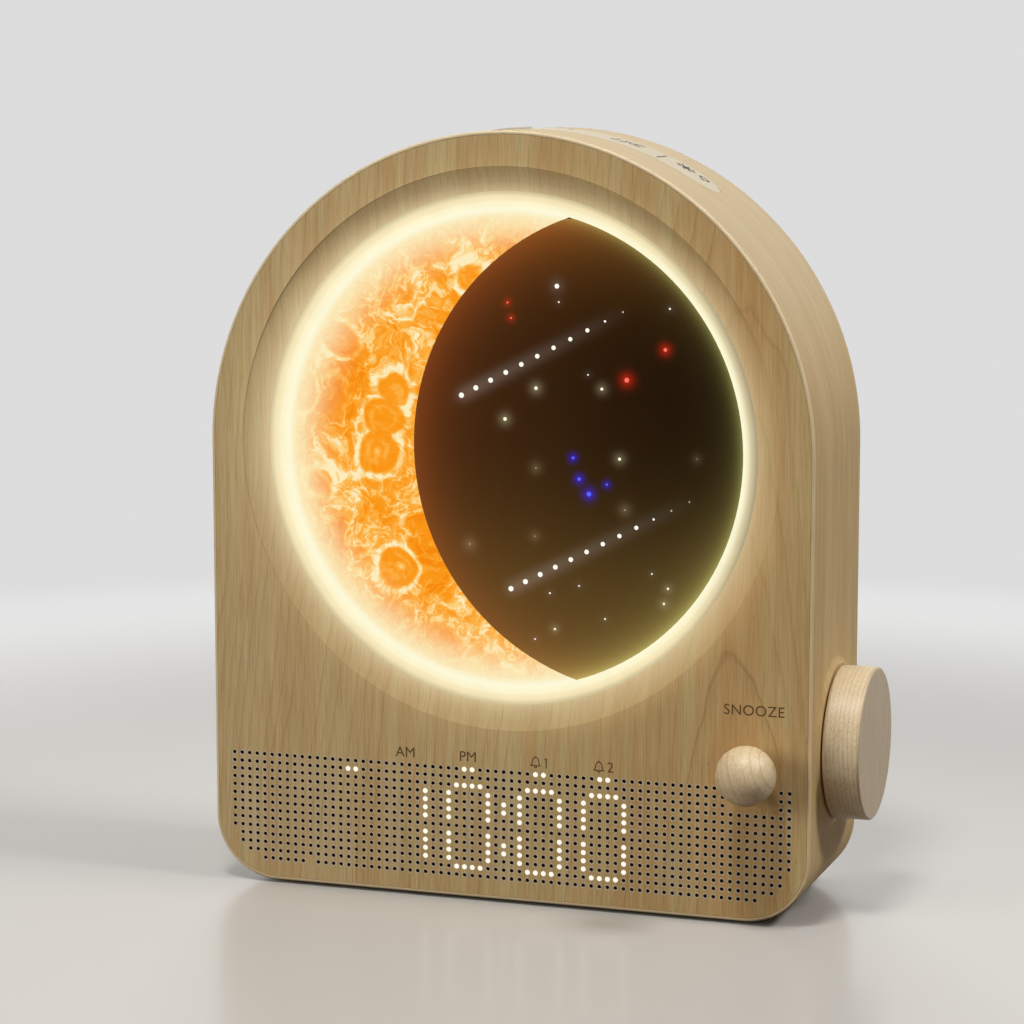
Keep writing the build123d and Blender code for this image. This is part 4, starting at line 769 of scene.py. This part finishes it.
def stars():
    """Each star is a small domed disc a hair before the panel."""
    groups = {kind: [] for kind in CORE}
    for x, z, size, kind in STARS:
        groups[kind].append((x, z, size * {"r": 0.72, "b": 0.72, "d": 0.5}.get(kind, 0.9)))
    for (ax, az), (bx, bz), count, faint in METEORS:
        bright = count - faint
        for k in range(count):
            t = k / (count - 1)
            t *= METEOR_CROWD + (1 - METEOR_CROWD) * t
            size = 0.82 - 0.24 * t if k < bright else 0.36 - 0.05 * (k - bright)
            kind = "w" if k <= bright else "f"
            groups[kind].append((ax + (bx - ax) * t, az + (bz - az) * t, size))
    for kind, places in groups.items():
        points, faces = [], []
        for x, z, size in places:
            faces += quads_between(len(points), 16)
            points += circle(x, night_front - 0.05, ARCH_Z + z, size, 16)
            points += circle(x, night_front - 0.09, ARCH_Z + z, size * 0.6, 16)
            faces.append(tuple(range(len(points) - 16, len(points))))
        piece("stars_" + kind, mesh_of("stars_" + kind, points, faces),
              emitter("star_" + kind, CORE[kind], 1.0), smooth=True)


night_sky()
stars()


def flat_ring(name, inner, outer, depth, finish, slot):
    """A thin flat ring round the dial, depth mm behind the face."""
    points = [p for radius in (inner, outer) for p in circle(0.0, FRONT + depth, ARCH_Z, radius, 180)]
    sheet(name, points, quads_between(0, 180), finish, slot)


# light from the box fills the narrow gaps beside the ring; the turned dish is glued in flush
flat_ring("ring_lip_inner", DISC_R - 0.25, DISC_R + 0.5, DISC_DEPTH + 0.02, "ring", "milky")
flat_ring("ring_lip_outer", RING_R - 0.5, RING_R + 0.25, RING_DEPTH + 0.02, "ring", "milky")
flat_ring("dish_glue_line", DISH_R - 0.25, DISH_R + 0.1, -0.02, "face", "face_wood")


# ------------------------------------------------------------------ symbols on the top strip
STRIP_INK_R = ARCH_R + 0.03


def on_strip(name, angle, y, strokes, width, fills=()):
    """A sign on the strip, centred angle degrees from the top. strokes and fills are lists of points in
    mm, along the arch to the right and across it to the rear."""
    flat, faces = ribbons(strokes, width)
    for fill in fills:
        faces.append(tuple(range(len(flat), len(flat) + len(fill))))
        flat += fill
    points = []
    for along, across in flat:
        a = radians(angle) + along / ARCH_R
        points.append((STRIP_INK_R * sin(a), FRONT + y + across, ARCH_Z + STRIP_INK_R * cos(a)))
    sheet(name, points, faces, "strip_ink")


def arc(radius, start, end, x=0.0, y=0.0, steps=16):
    """Points of an arc about (x, y), angles in degrees."""
    turns = [radians(start + (end - start) * k / steps) for k in range(steps + 1)]
    return [(x + radius * cos(t), y + radius * sin(t)) for t in turns]


def disc(radius, x=0.0, y=0.0):
    return arc(radius, 0, 360 * 15 / 16, x, y, 15)


def spokes(inner, outer, count):
    return [[(inner * cos(t), inner * sin(t)), (outer * cos(t), outer * sin(t))]
            for t in (2 * pi * k / count for k in range(count))]


NOTE = [(-1.2, -2.0), (-1.2, 3.0), (1.6, 2.4), (1.6, -2.6)]
MOON = arc(2.7, 50, 310) + arc(1.9, 292, 68, 1.0)[1:] + [(1.74, 2.07)]
BULB = [arc(1.55, -60, 240, y=0.9), [(-0.8, -1.1), (0.8, -1.1)], [(-0.8, -2.1), (0.8, -2.1)]]
on_strip("strip_divider", 23.9, 34.0, [[(0, -5.5), (0, 5.5)]], 0.5)
on_strip("strip_spot", 4.7, 40.5, [], 0.5, [disc(0.75)])
on_strip("strip_note", 15.4, 35.4, [NOTE], 0.5, [disc(0.85, -1.85, -2.1), disc(0.85, 0.95, -2.7)])
on_strip("strip_moon", 18.6, 36.4, [MOON], 0.5)
on_strip("strip_sun", 28.5, 37.0, spokes(2.0, 3.3, 8), 1.0, [disc(1.5)])
on_strip("strip_bulb", 32.4, 36.4, BULB, 0.7)


# ------------------------------------------------------------------ screws on the rear cover
SCREW_R = ARCH_R - 9.5       # the upper four screws are this far from the arch's centre or middle plane
SIDE_SCREW_Z, LOW_SCREW_X, LOW_SCREW_Z = 80.0, 60.0, 10.5
SLOT_LENGTH, SLOT_WIDTH = 3.0, 0.56


def cross_recesses():
    """The cross slot of each cover screw, painted shade on a thin sheet just proud of its head."""
    points, faces = [], []
    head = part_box("cover_screws")[1].y / MM + 0.02
    places = [(SCREW_R * sin(pi / 4), ARCH_Z + SCREW_R * cos(pi / 4)), (SCREW_R, SIDE_SCREW_Z),
              (LOW_SCREW_X, LOW_SCREW_Z)]
    places = [(side * x, z) for x, z in places for side in (-1, 1)]
    for k, (x, z) in enumerate(places):
        for turn in (0.3 + k * 0.7, 0.3 + k * 0.7 + pi / 2):
            c, n = cos(turn), sin(turn)
            faces.append(tuple(range(len(points), len(points) + 4)))
            for right, up in ((-1, -1), (1, -1), (1, 1), (-1, 1)):
                u, v = right * SLOT_LENGTH / 2, up * SLOT_WIDTH / 2
                points.append((x + u * c - v * n, head, z + u * n + v * c))
    sheet("screw_cross_shade", points, faces, "hole")


cross_recesses()


# ------------------------------------------------------------------ floor, lamps and world
BACKDROP, ROOM_LIGHT = 0.72, 0.09      # the world's level as it is seen, and as it lights the clock


def floor():
    """A pale studio floor that fades into the backdrop. What it throws back on the clock is darker."""
    s = Shader("studio_floor")
    haze = s.noise(s.place, scale=0.004, detail=2)
    rays = s.node("ShaderNodeLightPath").outputs
    seen = s.math("MAXIMUM", rays["Is Camera Ray"], rays["Is Glossy Ray"])
    pale = s.mix(haze, rgb(196, 193, 188), rgb(204, 201, 196))
    x, y, _ = s.split()
    pale = s.mix(s.ease(y, 60.0, 460.0), pale, rgb(170, 168, 164))
    away = s.ease(s.hypot(x, y), 240.0, 640.0)
    colour = s.mix(away, s.mix(seen, rgb(66, 54, 42), pale), (0, 0, 0, 1))
    glow = s.mul(s.mul(away, seen), BACKDROP)
    material = s.surface(colour, 0.2, Specular_IOR_Level=s.ease(away, 0.0, 1.0, 0.4, 0.0),
                         Emission_Color=(1, 1, 1, 1), Emission_Strength=glow)
    far = 3000
    corners = [(-far, -far, 0), (far, -far, 0), (far, far, 0), (-far, far, 0)]
    mesh = mesh_of("floor", corners, [(0, 1, 2, 3)])
    obj = place_in_scene("floor", mesh)
    mesh.materials.append(material)


def lamp(name, place, target, size, power, colour=(1, 1, 1), mirrored=True):
    """A round soft lamp in metres and watts. One that isn't mirrored shows in no glossy surface."""
    data = bpy.data.lights.new(name, "AREA")
    data.shape = "DISK"
    data.size = size
    data.energy = power
    data.color = colour
    obj = place_in_scene(name, data)
    obj.location = place
    obj.rotation_euler = (Vector(target) - Vector(place)).to_track_quat("-Z", "Y").to_euler()
    obj.visible_camera = False
    obj.visible_glossy = mirrored


floor()
lamp("key", (0.0, -0.58, 1.45), (0.02, 0, 0.1), 0.3, 10.0)
lamp("overhead", (0.45, 0.15, 1.35), (0, 0, 0.12), 0.9, 2.0)
lamp("side", (0.98, -0.02, 1.08), (0.09, 0, 0.12), 0.3, 9.2, (1.0, 0.975, 0.94))
lamp("front", (-1.3, -1.5, 0.7), (0, 0, 0.12), 1.1, 15.5, (1.0, 0.965, 0.91), mirrored=False)
lamp("rear", (-1.0, 2.4, 0.6), (0, 0, 0.12), 1.0, 46.0, mirrored=False)

world = bpy.data.worlds.new("world")
bpy.context.scene.world = world
world.use_nodes = True
tree = world.node_tree
backdrop = tree.nodes["Background"]
backdrop.inputs[0].default_value = (1, 1, 1, 1)
path = tree.nodes.new("ShaderNodeLightPath")
seen = tree.nodes.new("ShaderNodeMath")
seen.operation = "MAXIMUM"
tree.links.new(path.outputs["Is Camera Ray"], seen.inputs[0])
tree.links.new(path.outputs["Is Glossy Ray"], seen.inputs[1])
level = tree.nodes.new("ShaderNodeMapRange")
tree.links.new(seen.outputs[0], level.inputs[0])
level.inputs[3].default_value = ROOM_LIGHT
level.inputs[4].default_value = BACKDROP
tree.links.new(level.outputs[0], backdrop.inputs[1])
bpy.context.scene.view_settings.view_transform = "Standard"
